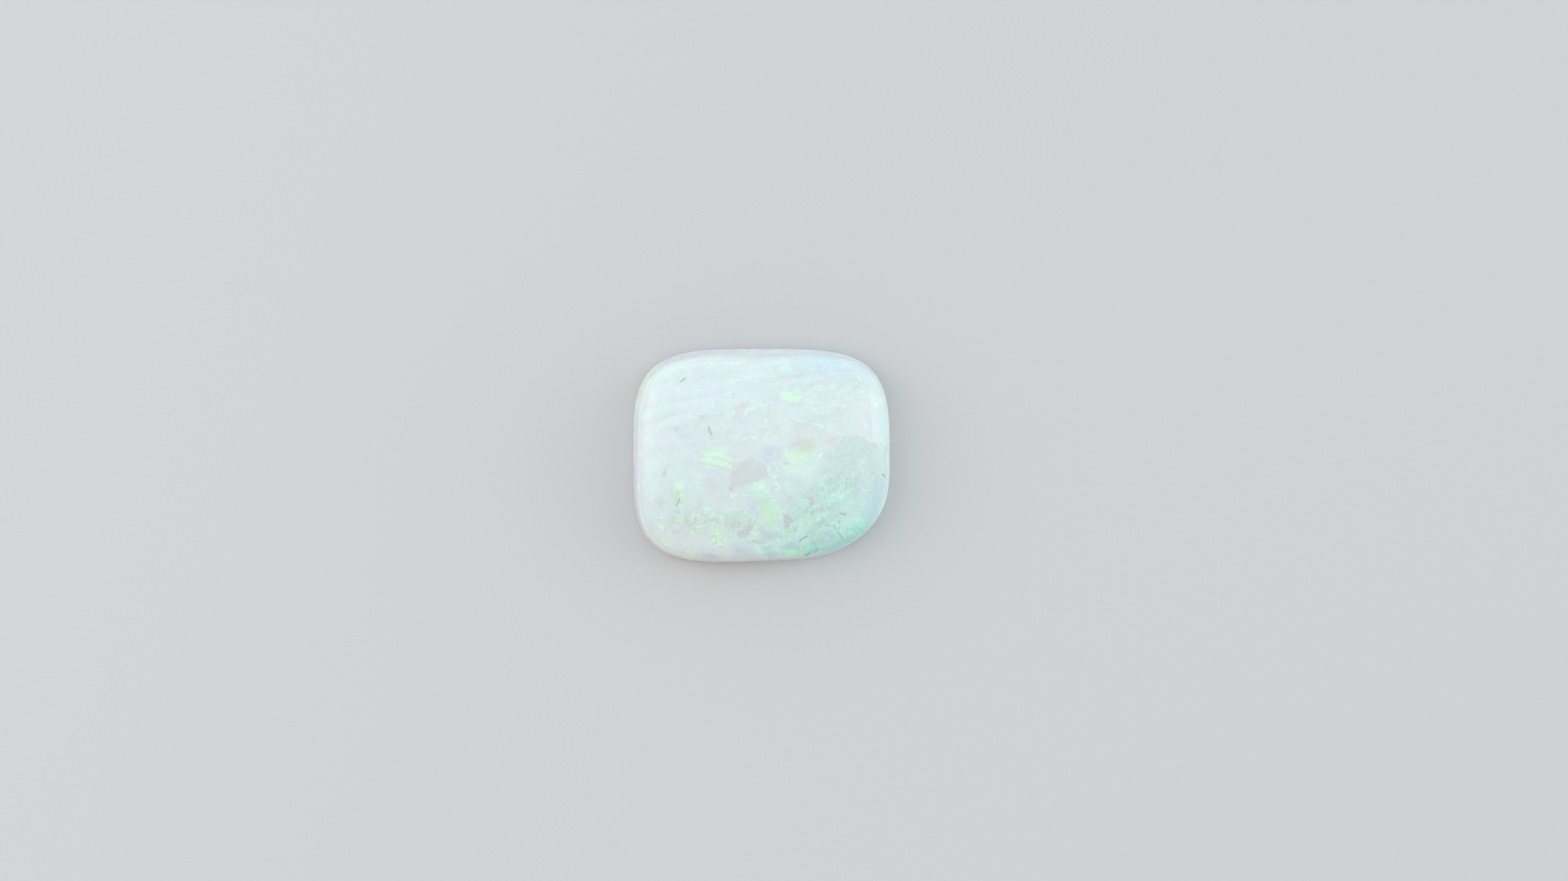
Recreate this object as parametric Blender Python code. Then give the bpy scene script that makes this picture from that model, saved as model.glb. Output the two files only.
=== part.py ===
"""A cushion-shaped opal cabochon, modelled at its real size in metres.

The stone rests on its flat back at Z = 0, with its long side along X, its
domed face up and the origin under the middle of its outline.
"""

import math

import bmesh
import bpy
from mathutils import Vector

MM = 0.001

# The girdle, which is the widest line round the stone, seen from above.
HALF_LENGTH = 7.0 * MM
HALF_WIDTH = 5.86 * MM
SQUARENESS = 3.85  # exponent of the superellipse: 2 is an ellipse, more is squarer

# The hand-cut departures from a true cushion, each fading away from its bearing.
ROUNDED_CORNER = {"bearing": 322.0, "focus": 4.0, "amount": 1.2}
CROPPED_EDGE = {"bearing": 292.0, "focus": 10.0, "amount": 0.030}
FULL_CORNER = {"bearing": 232.0, "focus": 14.0, "amount": 0.008}

# The section, from the back up to the crown.
PEAK = 3.05 * MM  # height of the crown above the back
DOME_DROP = 0.75 * MM  # how far the dome falls from the peak to the ellipse of the girdle
SHOULDER_RADIUS = 1.1 * MM
WALL_LEAN = math.radians(8.5)  # the side wall leans in, so that a bezel can grip it
SLANTED_WALL = {"bearing": 110.0, "focus": 1.5, "amount": math.radians(8.5)}
GIRDLE_HEIGHT = 0.40 * MM
BACK_BEVEL = 0.45 * MM  # how far the flat back lies inside the girdle

# How finely the surface is cut.
SIDES = 120
BEVEL_STEPS = 4
WALL_STEPS = 2
SHOULDER_STEPS = 7
DOME_STEPS = 8

# Milky opal.
OPAL_COLOUR = (0.66, 0.80, 0.79, 1.0)
OPAL_ROUGHNESS = 0.12
OPAL_IOR = 1.45


def fade(angle, feature):
    """The feature's amount at this angle: all of it at its own bearing, and less away from it."""
    turn = angle - math.radians(feature["bearing"])
    return feature["amount"] * math.exp(feature["focus"] * (math.cos(turn) - 1.0))


def girdle_point(angle):
    """A point of the girdle: a superellipse with one rounder corner and one cropped edge."""
    power = SQUARENESS - fade(angle, ROUNDED_CORNER)
    across = abs(math.cos(angle) / HALF_LENGTH) ** power
    along = abs(math.sin(angle) / HALF_WIDTH) ** power
    radius = (across + along) ** (-1.0 / power)
    radius *= 1.0 - fade(angle, CROPPED_EDGE) + fade(angle, FULL_CORNER)
    return Vector((radius * math.cos(angle), radius * math.sin(angle)))


def girdle_outline():
    """(angles, points of the girdle about the middle of its own box, unit normals pointing out)."""
    angles = [math.tau * side / SIDES for side in range(SIDES)]
    points = [girdle_point(angle) for angle in angles]
    middle = Vector(
        (
            (min(p.x for p in points) + max(p.x for p in points)) / 2,
            (min(p.y for p in points) + max(p.y for p in points)) / 2,
        )
    )
    nudge = 0.25 * math.tau / SIDES
    normals = []
    for angle in angles:
        along = girdle_point(angle + nudge) - girdle_point(angle - nudge)
        normals.append(Vector((along.y, -along.x)).normalized())
    return angles, [point - middle for point in points], normals


def dome_height(x, y):
    """The dome is an elliptic paraboloid."""
    return PEAK - DOME_DROP * ((x / HALF_LENGTH) ** 2 + (y / HALF_WIDTH) ** 2)


def dome_tilt(place, normal):
    """How steeply the dome falls towards the normal at this place, as an angle."""
    fall = normal.x * place.x / HALF_LENGTH**2 + normal.y * place.y / HALF_WIDTH**2
    return math.atan(2.0 * DOME_DROP * fall)


def shoulder_arc(lean, tilt):
    """(inset, rise) over the wall's top of the shoulder's arc, where its surface has this tilt."""
    wall_tilt = math.pi / 2 - lean
    inset = SHOULDER_RADIUS * (math.sin(wall_tilt) - math.sin(tilt))
    rise = SHOULDER_RADIUS * (math.cos(tilt) - math.cos(wall_tilt))
    return inset, rise


def wall_top(point, normal, lean):
    """(inset, height, tilt): the wall's top edge, and the tilt at which its shoulder meets the dome.

    The wall's height sets how far in the shoulder ends, and the dome's height there sets the
    wall's height, so each is worked out from the other until they agree.
    """
    height = PEAK - DOME_DROP - SHOULDER_RADIUS
    tilt = 0.0
    for _ in range(6):
        inset = (height - GIRDLE_HEIGHT) * math.tan(lean)
        arc_inset, arc_rise = shoulder_arc(lean, tilt)
        place = point - normal * (inset + arc_inset)
        tilt = dome_tilt(place, normal)
        height = dome_height(place.x, place.y) - arc_rise
    return (height - GIRDLE_HEIGHT) * math.tan(lean), height, tilt


def rim_stations(point, normal, lean):
    """(inset from the girdle, height) from the back's edge over the bevel, wall and shoulder."""
    top_inset, top_height, top_tilt = wall_top(point, normal, lean)
    stations = []
    for step in range(BEVEL_STEPS + 1):
        turn = math.pi / 2 * step / BEVEL_STEPS
        inset = BACK_BEVEL * (1.0 - math.sin(turn))
        stations.append((inset, GIRDLE_HEIGHT * (1.0 - math.cos(turn))))
    for step in range(1, WALL_STEPS + 1):
        share = step / WALL_STEPS
        rise = share * (top_height - GIRDLE_HEIGHT)
        stations.append((share * top_inset, GIRDLE_HEIGHT + rise))
    wall_tilt = math.pi / 2 - lean
    for step in range(1, SHOULDER_STEPS + 1):
        tilt = wall_tilt + (top_tilt - wall_tilt) * step / SHOULDER_STEPS
        inset, rise = shoulder_arc(lean, tilt)
        stations.append((top_inset + inset, top_height + rise))
    return stations


def section_rings():
    """The rings of the stone, from the edge of its back up to the last ring of the dome."""
    angles, points, normals = girdle_outline()
    leans = [WALL_LEAN + fade(angle, SLANTED_WALL) for angle in angles]
    columns = [rim_stations(*place) for place in zip(points, normals, leans)]
    rings = []
    for station in range(len(columns[0])):
        ring = []
        for point, normal, column in zip(points, normals, columns):
            inset, height = column[station]
            ring.append((point - normal * inset).to_3d() + Vector((0, 0, height)))
        rings.append(ring)
    shoulder = rings[-1]
    for step in range(1, DOME_STEPS):
        share = 1.0 - step / DOME_STEPS
        rings.append(
            [
                Vector((share * p.x, share * p.y, dome_height(share * p.x, share * p.y)))
                for p in shoulder
            ]
        )
    return rings


def opal_mesh():
    """Lofts the rings into one closed surface, with a flat back and a point at the crown."""
    shape = bmesh.new()
    rings = [[shape.verts.new(point) for point in ring] for ring in section_rings()]
    crown = shape.verts.new((0.0, 0.0, PEAK))
    shape.faces.new(reversed(rings[0]))
    for side in range(SIDES):
        after = (side + 1) % SIDES
        for lower, upper in zip(rings, rings[1:]):
            shape.faces.new((lower[side], lower[after], upper[after], upper[side]))
        shape.faces.new((rings[-1][side], rings[-1][after], crown))
    mesh = bpy.data.meshes.new("opal")
    shape.to_mesh(mesh)
    shape.free()
    mesh.shade_smooth()
    mesh.set_sharp_from_angle(angle=math.radians(30))
    return mesh


def opal_material():
    material = bpy.data.materials.new("milky_opal")
    material.use_nodes = True
    surface = material.node_tree.nodes["Principled BSDF"]
    surface.inputs["Base Color"].default_value = OPAL_COLOUR
    surface.inputs["Roughness"].default_value = OPAL_ROUGHNESS
    surface.inputs["Metallic"].default_value = 0.0
    surface.inputs["IOR"].default_value = OPAL_IOR
    return material


def build():
    for old in list(bpy.data.objects):
        bpy.data.objects.remove(old)
    collection = bpy.data.collections.new("opal_cabochon")
    bpy.context.scene.collection.children.link(collection)
    opal = bpy.data.objects.new("opal", opal_mesh())
    opal.data.materials.append(opal_material())
    collection.objects.link(opal)


build()
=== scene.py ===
"""The looks of a polished white opal cabochon, lying dome up on a pale floor and seen from above."""

import math

import bpy
import numpy as np
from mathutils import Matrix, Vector


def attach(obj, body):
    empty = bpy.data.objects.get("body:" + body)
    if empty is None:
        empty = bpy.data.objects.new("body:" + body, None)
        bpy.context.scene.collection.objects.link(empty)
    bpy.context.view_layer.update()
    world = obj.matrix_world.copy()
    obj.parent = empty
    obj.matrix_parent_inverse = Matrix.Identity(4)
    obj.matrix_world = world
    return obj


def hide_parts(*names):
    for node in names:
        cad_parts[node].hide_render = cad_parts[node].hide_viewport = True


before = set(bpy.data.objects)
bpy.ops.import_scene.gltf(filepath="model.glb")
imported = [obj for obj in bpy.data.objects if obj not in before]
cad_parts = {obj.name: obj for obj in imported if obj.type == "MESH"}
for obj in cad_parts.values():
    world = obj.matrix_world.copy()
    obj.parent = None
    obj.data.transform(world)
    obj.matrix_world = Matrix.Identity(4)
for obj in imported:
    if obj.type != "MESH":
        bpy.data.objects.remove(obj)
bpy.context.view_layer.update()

MM = 0.001

# The stone's outline and section, as the solid has them.
HALF_LENGTH = 7.0 * MM
HALF_WIDTH = 5.86 * MM
SQUARENESS = 3.85
ROUNDED_CORNER = {"bearing": 322.0, "focus": 4.0, "amount": 1.2}
CROPPED_EDGE = {"bearing": 292.0, "focus": 10.0, "amount": 0.030}
FULL_CORNER = {"bearing": 232.0, "focus": 14.0, "amount": 0.008}
PEAK = 3.05 * MM
DOME_DROP = 0.75 * MM
SHOULDER_RADIUS = 1.1 * MM
WALL_LEAN = math.radians(8.5)
SLANTED_WALL = {"bearing": 110.0, "focus": 1.5, "amount": math.radians(8.5)}
GIRDLE_HEIGHT = 0.40 * MM
BACK_BEVEL = 0.45 * MM

# How finely the surface is cut, in rings from the crown outwards.
DOME_RINGS = 108
SHOULDER_RINGS = 26
WALL_RINGS = 10
BEVEL_RINGS = 10
RINGS = DOME_RINGS + SHOULDER_RINGS + WALL_RINGS + BEVEL_RINGS

# The waves of the polish: their height, how long the broad and the fine ones are in mm, and the
# heights in mm between which they set in above the wall.
WAVE_HEIGHT = 0.004 * MM
BROAD_WAVE = 2.4
FINE_WAVE = 0.7
WAVE_FADE = (1.3, 2.2)

# The nicks round the girdle: how many, the middle and spread of their bearings in degrees, and the
# ranges of their measures in mm.
CHIPS = 60
CHIP_BEARINGS = (225.0, 60.0)
CHIP_WIDTHS = (0.04, 0.14)
CHIP_HEIGHTS = (0.06, 0.16)
CHIP_DEPTHS = (0.006, 0.022)
CHIP_LIFTS = (-0.05, 0.30)

# Heights in mm between which the face's marks fade in above the wall, and the wall's own fade out.
FACE_FADE = (0.9, 1.7)
WALL_FADE = (1.8, 1.3)

# A facet's edge: how far it wanders, and how wide it is, in mm.
FACET_SWAY = 0.05
FACET_EDGE = 0.09

# How wide the edge of a cornered flash is in mm, how far it or a stroke frays beside a plain flash,
# and how far the stripes of one flash lie from those of the next in the noise they come from.
CORNERED_SOFTNESS = 0.07
CORNERED_FRAY = 0.2
STRIPE_STEP = 3.7

# The lint: a fibre's half thickness, how high in mm its start, middle and end lie over the polish,
# how finely fibres and specks are cut, and their colours.
FIBRE_RADIUS = 0.008 * MM
FIBRE_LIFTS = (0.01, 0.04, 0.01)
FIBRE_RINGS = 14
FIBRE_SIDES = 8
SPECK_RINGS = 7
SPECK_SIDES = 10
DARK_FLUFF = (0.09, 0.11, 0.11)
PALE_FLUFF = (0.80, 0.88, 0.86)

# The photograph's own measures, in its pixels.
PHOTO_WIDTH = 2576
PHOTO_HEIGHT = 1448
STONE_MIDDLE_X = 1251
STONE_MIDDLE_Y = 749.5
STONE_LENGTH_SEEN = 421

# The camera's focal length and the width of its sensor, in mm.
LENS = 100.0
SENSOR = 36.0

# The sky's brightness, where a white surface lit by 1.0 all round shows white, and its faint tint.
HORIZON_RADIANCE = 1.5
ZENITH_RADIANCE = 0.565
SKY_TINT = (0.97, 1.0, 1.02)

# The soft lights: name, bearing and angle from overhead in degrees, distance, width and height in
# metres, radiance, and whether they glint on the stone.
SOFTBOXES = (
    ("left_softbox", 172.0, 50.0, 0.30, 0.32, 0.34, 0.8, True),
    ("left_softbox_core", 172.0, 48.0, 0.29, 0.18, 0.22, 0.7, True),
    ("right_softbox", 18.0, 50.0, 0.30, 0.16, 0.16, 0.6, True),
    ("right_softbox_core", 18.0, 50.0, 0.29, 0.08, 0.09, 1.0, True),
    ("right_low_light", 5.0, 80.0, 0.35, 0.40, 0.20, 1.5, False),
)

# The floor: half its side, its height, and its grey.
FLOOR_HALF = 1.5
FLOOR_LEVEL = -0.01 * MM
FLOOR_GREY = (0.64, 0.64, 0.645)

# White opal: its refractive index, and the share of light that its whitest spot sends back.
OPAL_IOR = 1.45
WHITEST = 0.97

# The pale body colour that every cast is measured from, in 0 to 255 steps.
PALE = np.array((219.0, 235.0, 235.0))


def linear(steps):
    """Scene-linear colour of display steps from 0 to 255."""
    share = np.asarray(steps, float) / 255.0
    return np.where(share <= 0.04045, share / 12.92, ((share + 0.055) / 1.055) ** 2.4)


def cast(red, green, blue):
    """The multiplier that moves the pale body colour by these display steps."""
    return linear(PALE + (red, green, blue)) / linear(PALE)


LIME = cast(-2, 14, -10)
MINT = cast(1, 18, 3)
GREEN = cast(-8, 20, -18)
LEAF = cast(-30, 2, -32)
TEAL = cast(-16, 4, 2)
SEA = cast(-30, -12, -14)
BLUE = cast(-12, -2, 6)
STEEL = cast(-26, -14, -3)
LILAC = cast(-2, -5, 6)
VIOLET = cast(-12, -22, -5)
IRIS = cast(-6, -12, 12)
ROSE = cast(2, -12, -9)
BROWN = cast(-10, -22, -22)
PEACH = cast(2, -6, -9)
GREY = cast(-7, -13, -13)
CLOUD = cast(-11, -7, -8)
MOSS = cast(-20, -11, -18)
SLATE = cast(-22, -16, -16)
DEEP = cast(-26, -24, -26)
WHITE = cast(9, 8, 9)
MILK = cast(4, 4, 6)
PINKISH = cast(12, 5, 5)
DUSK = cast(-6, -10, -8)
OLIVE = cast(-6, -2, -14)
MUSTARD = cast(-8, 2, -26)
TAN = cast(-5, -8, -20)
BLUSH = cast(4, -11, -6)
KIWI = cast(-6, 9, -22)
SPRING = cast(-14, 17, -9)
AZURE = cast(-14, -3, 16)
WINE = cast(-7, -23, -21)

# Soft glows in the body, and two pinkish ones on the right shoulder that are a painted highlight: cast,
# share, middle x and y, half length and half width in mm, turn in degrees.
GLOWS_AND_PAINTED_HIGHLIGHT = (
    (MILK, 1.0, -2.0, 4.2, 4.6, 2.2, 8),
    (BLUE, 0.5, 3.4, 5.1, 2.2, 0.9, -8),
    (ROSE, 0.2, -2.5, 1.5, 3.5, 1.0, 12),
    (GREY, 0.5, -3.4, -4.0, 3.0, 1.8, 0),
    (MOSS, 0.6, 2.3, -3.7, 3.0, 1.8, 0),
    (SEA, 0.8, 4.0, -4.9, 2.2, 0.7, 20),
    (SEA, 0.5, 5.6, -3.8, 1.2, 0.7, 50),
    (TEAL, 0.4, 5.1, -2.9, 1.4, 1.2, 0),
    (STEEL, 0.7, 6.26, -2.1, 0.26, 1.0, -8),
    (STEEL, 0.1, 5.9, -3.0, 0.5, 0.8, -20),
    (MOSS, 0.6, 2.9, -4.4, 0.55, 0.4, 0),
    (CLOUD, 0.8, 0.9, -4.5, 1.6, 0.35, 0),
    # A painted highlight: a broad pinkish glow on the right shoulder.
    (PINKISH, 0.5, 5.5, 2.2, 0.6, 1.4, 0),
    (BLUE, 0.45, 6.1, 4.4, 0.7, 0.7, 0),
    (STEEL, 0.38, 4.1, 5.1, 1.9, 0.55, -12),
    (STEEL, 0.15, 3.7, 4.6, 1.1, 0.12, 8),
    (TEAL, 0.8, 6.6, 2.0, 0.22, 1.1, 0),
    (MINT, 0.5, 1.34, 4.73, 0.45, 0.27, 0),
    (MINT, 0.3, 0.65, 4.37, 0.3, 0.12, 10),
    (DUSK, 0.6, 1.9, 4.3, 1.0, 0.14, 8),
    (DUSK, 0.5, 4.5, 4.62, 0.35, 0.09, 8),
    (DUSK, 0.4, -0.6, 3.75, 1.2, 0.12, 10),
    (MINT, 0.6, -4.9, 4.6, 0.8, 0.3, 22),
    (PEACH, 1.0, -3.45, 4.5, 0.28, 0.2, 10),
    (PEACH, 1.0, -4.73, 4.35, 0.16, 0.16, 0),
    (ROSE, 0.5, -5.2, 4.05, 0.25, 0.16, 20),
    (VIOLET, 0.35, -4.15, 1.1, 0.35, 0.25, 0),
    (IRIS, 0.4, -5.46, 0.55, 0.2, 0.16, 40),
    (IRIS, 0.3, -4.95, 0.6, 0.14, 0.12, 0),
    (IRIS, 0.35, -4.0, 1.85, 0.22, 0.12, 0),
    (IRIS, 0.3, -4.7, 2.7, 0.25, 0.12, 15),
    (IRIS, 0.3, -5.35, 3.5, 0.2, 0.14, 0),
    (IRIS, 0.3, -3.9, 2.95, 0.16, 0.16, 0),
    (IRIS, 0.3, -2.35, 1.15, 0.2, 0.14, 0),
    (PEACH, 0.9, -2.7, 0.95, 0.16, 0.12, 0),
    (VIOLET, 0.25, -2.6, 3.4, 1.2, 0.2, 14),
    (ROSE, 0.3, -2.4, -1.3, 0.9, 0.6, -20),
    (ROSE, 0.3, -0.5, 0.75, 0.6, 0.25, 10),
    (BROWN, 0.3, -5.44, -2.45, 0.4, 0.25, 0),
    (ROSE, 0.5, -4.3, -4.1, 1.2, 0.7, 10),
    (VIOLET, 0.8, -2.8, -5.45, 0.6, 0.2, -10),
    (VIOLET, 0.6, -1.0, -5.1, 0.6, 0.45, -30),
    (IRIS, 0.3, -1.3, -5.1, 0.16, 0.2, 0),
    (IRIS, 0.5, -0.56, -2.6, 0.25, 0.3, 0),
    (IRIS, 0.9, -0.33, -3.0, 0.16, 0.11, 10),
    (VIOLET, 0.8, 0.6, -4.3, 0.5, 0.22, 0),
    (WINE, 0.5, 0.0, -4.0, 0.16, 0.45, 25),
    (MUSTARD, 0.9, 1.42, -4.08, 0.16, 0.28, 0),
    (MUSTARD, 0.25, 0.45, -3.1, 0.32, 0.6, 10),
    (KIWI, 0.5, 0.5, -3.6, 0.14, 0.12, 0),
    (MUSTARD, 0.5, -0.05, -2.4, 0.35, 0.2, 0),
    (MINT, 0.7, 0.0, -1.63, 0.35, 0.25, 10),
    (PEACH, 0.4, 2.5, -1.36, 0.6, 0.3, 0),
    (MINT, 0.5, 3.2, -1.27, 0.2, 0.18, 0),
    (OLIVE, 0.4, 3.78, -1.36, 0.2, 0.3, 0),
    (OLIVE, 0.5, 2.35, 0.4, 0.3, 0.45, 0),
    (LIME, 0.45, 2.1, -0.15, 0.9, 0.45, 0),
    (LIME, 0.6, -2.35, 0.24, 0.6, 0.14, -8),
    (LIME, 0.6, -4.42, -1.6, 0.24, 0.26, 0),
    (MINT, 0.5, -4.42, -1.6, 0.2, 0.22, 0),
    (LIME, 0.6, -4.9, -2.35, 0.5, 0.1, 55),
    (BROWN, 0.25, -5.5, -2.5, 0.35, 0.25, 30),
    (ROSE, 0.5, -4.95, -1.8, 0.14, 0.22, -30),
    (IRIS, 0.4, -5.95, -3.9, 0.14, 0.4, 15),
    (MINT, 0.25, 2.2, -0.9, 1.0, 0.3, 0),
    (VIOLET, 0.3, 2.9, -2.0, 0.8, 0.3, 20),
    # A painted highlight: a narrow pinkish band on the right shoulder.
    (PINKISH, 0.5, 6.08, 2.1, 0.17, 1.1, 2),
    (MINT, 0.7, 1.2, 3.3, 0.2, 0.2, 0),
    (MUSTARD, 0.4, 1.95, 3.05, 0.25, 0.12, 20),
    (MUSTARD, 0.35, 2.2, 0.35, 0.4, 0.2, 5),
    (TAN, 0.8, 2.45, 0.55, 0.55, 0.34, 25),
    (MILK, 0.5, 5.6, 1.5, 0.8, 0.3, -10),
)

# Larger facets with firm edges: cast, share and corners in mm, anticlockwise.
FACETS = (
    (
        BROWN, 0.5,
        (
            (-1.75, -1.85), (0.0, -1.35), (0.46, -1.05), (0.3, -0.5),
            (-0.3, -0.12), (-1.0, -0.2), (-1.4, -0.6), (-1.75, -0.9),
        ),
    ),
    (ROSE, 0.25, ((-1.5, -0.6), (-0.3, -0.15), (0.0, 0.2), (-0.5, 0.35), (-1.4, 0.25), (-1.6, -0.2))),
    (ROSE, 0.4, ((-1.65, 0.35), (-0.9, 0.5), (-0.7, 0.76), (-1.35, 0.85), (-1.6, 0.65))),
    (VIOLET, 0.36, ((0.0, -0.1), (0.3, -0.5), (1.2, -0.2), (1.3, 0.5), (0.3, 0.62), (-0.05, 0.4))),
    (WINE, 0.5, ((0.48, -0.58), (0.58, -0.7), (0.76, -0.66), (0.72, -0.48), (0.6, -0.5))),
    (VIOLET, 0.16, ((0.05, 0.0), (0.5, -0.05), (0.75, 0.2), (0.6, 0.45), (0.1, 0.4))),
    (ROSE, 0.4, ((1.5, 0.5), (1.65, 0.25), (2.2, 0.45), (2.65, 1.05), (2.3, 1.08), (1.75, 0.95))),
    (ROSE, 0.4, ((1.7, 1.3), (2.1, 0.95), (2.6, 1.1), (3.35, 1.2), (3.65, 1.35), (2.8, 1.76), (1.65, 1.88))),
    (PEACH, 0.7, ((2.3, 0.42), (3.2, 0.42), (3.75, 0.5), (4.22, 0.83), (4.5, 1.1), (3.6, 1.2), (2.6, 1.1))),
    (PEACH, 0.4, ((3.5, 0.52), (3.78, 0.5), (4.22, 0.83), (4.4, 1.04), (3.7, 1.1), (3.35, 0.95))),
    (OLIVE, 0.5, ((2.0, 0.2), (2.8, 0.1), (3.2, 0.25), (3.15, 0.5), (2.5, 0.62), (2.1, 0.5))),
    (SPRING, 0.5, ((0.88, 4.65), (1.0, 4.45), (1.7, 4.48), (1.75, 4.8), (1.45, 5.05), (1.05, 4.88))),
    (MOSS, 0.55, ((-2.0, -3.8), (-1.6, -3.9), (-0.9, -3.3), (-0.9, -2.9), (-1.7, -2.9), (-2.1, -3.3))),
    (OLIVE, 0.5, ((-5.35, -2.8), (-4.6, -2.8), (-4.25, -2.5), (-4.3, -1.9), (-4.6, -1.7), (-5.0, -2.0))),
    (ROSE, 0.5, ((-5.1, -2.0), (-4.9, -2.1), (-4.7, -1.7), (-4.75, -1.5), (-5.0, -1.6))),
    (WINE, 0.4, ((-1.35, -4.4), (-0.9, -4.5), (-0.4, -3.9), (-0.3, -3.6), (-0.6, -3.6), (-1.3, -4.1))),
    (OLIVE, 0.6, ((-1.6, -4.1), (-1.3, -4.1), (-0.55, -3.6), (-0.6, -3.3), (-1.1, -3.5), (-1.7, -3.9))),
    (SLATE, 0.6, ((-0.25, -4.85), (0.05, -5.3), (0.55, -5.68), (0.92, -5.3), (0.75, -4.8))),
    (KIWI, 0.75, ((-0.15, -2.7), (0.42, -3.75), (0.6, -3.75), (0.84, -3.05), (0.6, -2.62), (0.1, -2.56))),
    (SEA, 0.75, ((1.1, -5.1), (2.1, -5.1), (2.15, -4.65), (1.4, -4.62), (1.1, -4.85))),
    (SEA, 0.5, ((2.15, -5.5), (2.3, -5.5), (3.1, -5.2), (3.0, -4.6), (2.4, -4.55), (2.15, -4.9))),
    (BLUSH, 1.4, ((2.45, -2.3), (2.62, -2.85), (2.8, -2.9), (2.9, -2.3), (2.7, -2.0))),
    (BLUSH, 1.0, ((2.95, -2.75), (3.18, -3.1), (3.45, -2.95), (3.38, -2.6), (3.1, -2.48))),
    (WINE, 0.9, ((1.12, -3.9), (1.45, -4.0), (1.65, -3.6), (1.6, -3.2), (1.4, -3.03), (1.15, -3.1))),
    (SEA, 0.6, ((3.4, -4.2), (3.7, -4.65), (4.0, -4.5), (4.0, -4.0), (3.6, -3.95))),
    (OLIVE, 1.0, ((3.05, -4.2), (3.1, -4.7), (3.4, -4.75), (3.5, -4.5), (3.2, -4.1))),
    (MOSS, 0.7, ((3.0, -3.8), (3.9, -3.9), (3.75, -3.5), (3.3, -3.3), (3.0, -3.5))),
    (MOSS, 0.6, ((2.4, -4.3), (2.8, -4.4), (3.3, -3.7), (3.1, -3.4), (2.7, -3.7))),
)

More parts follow.
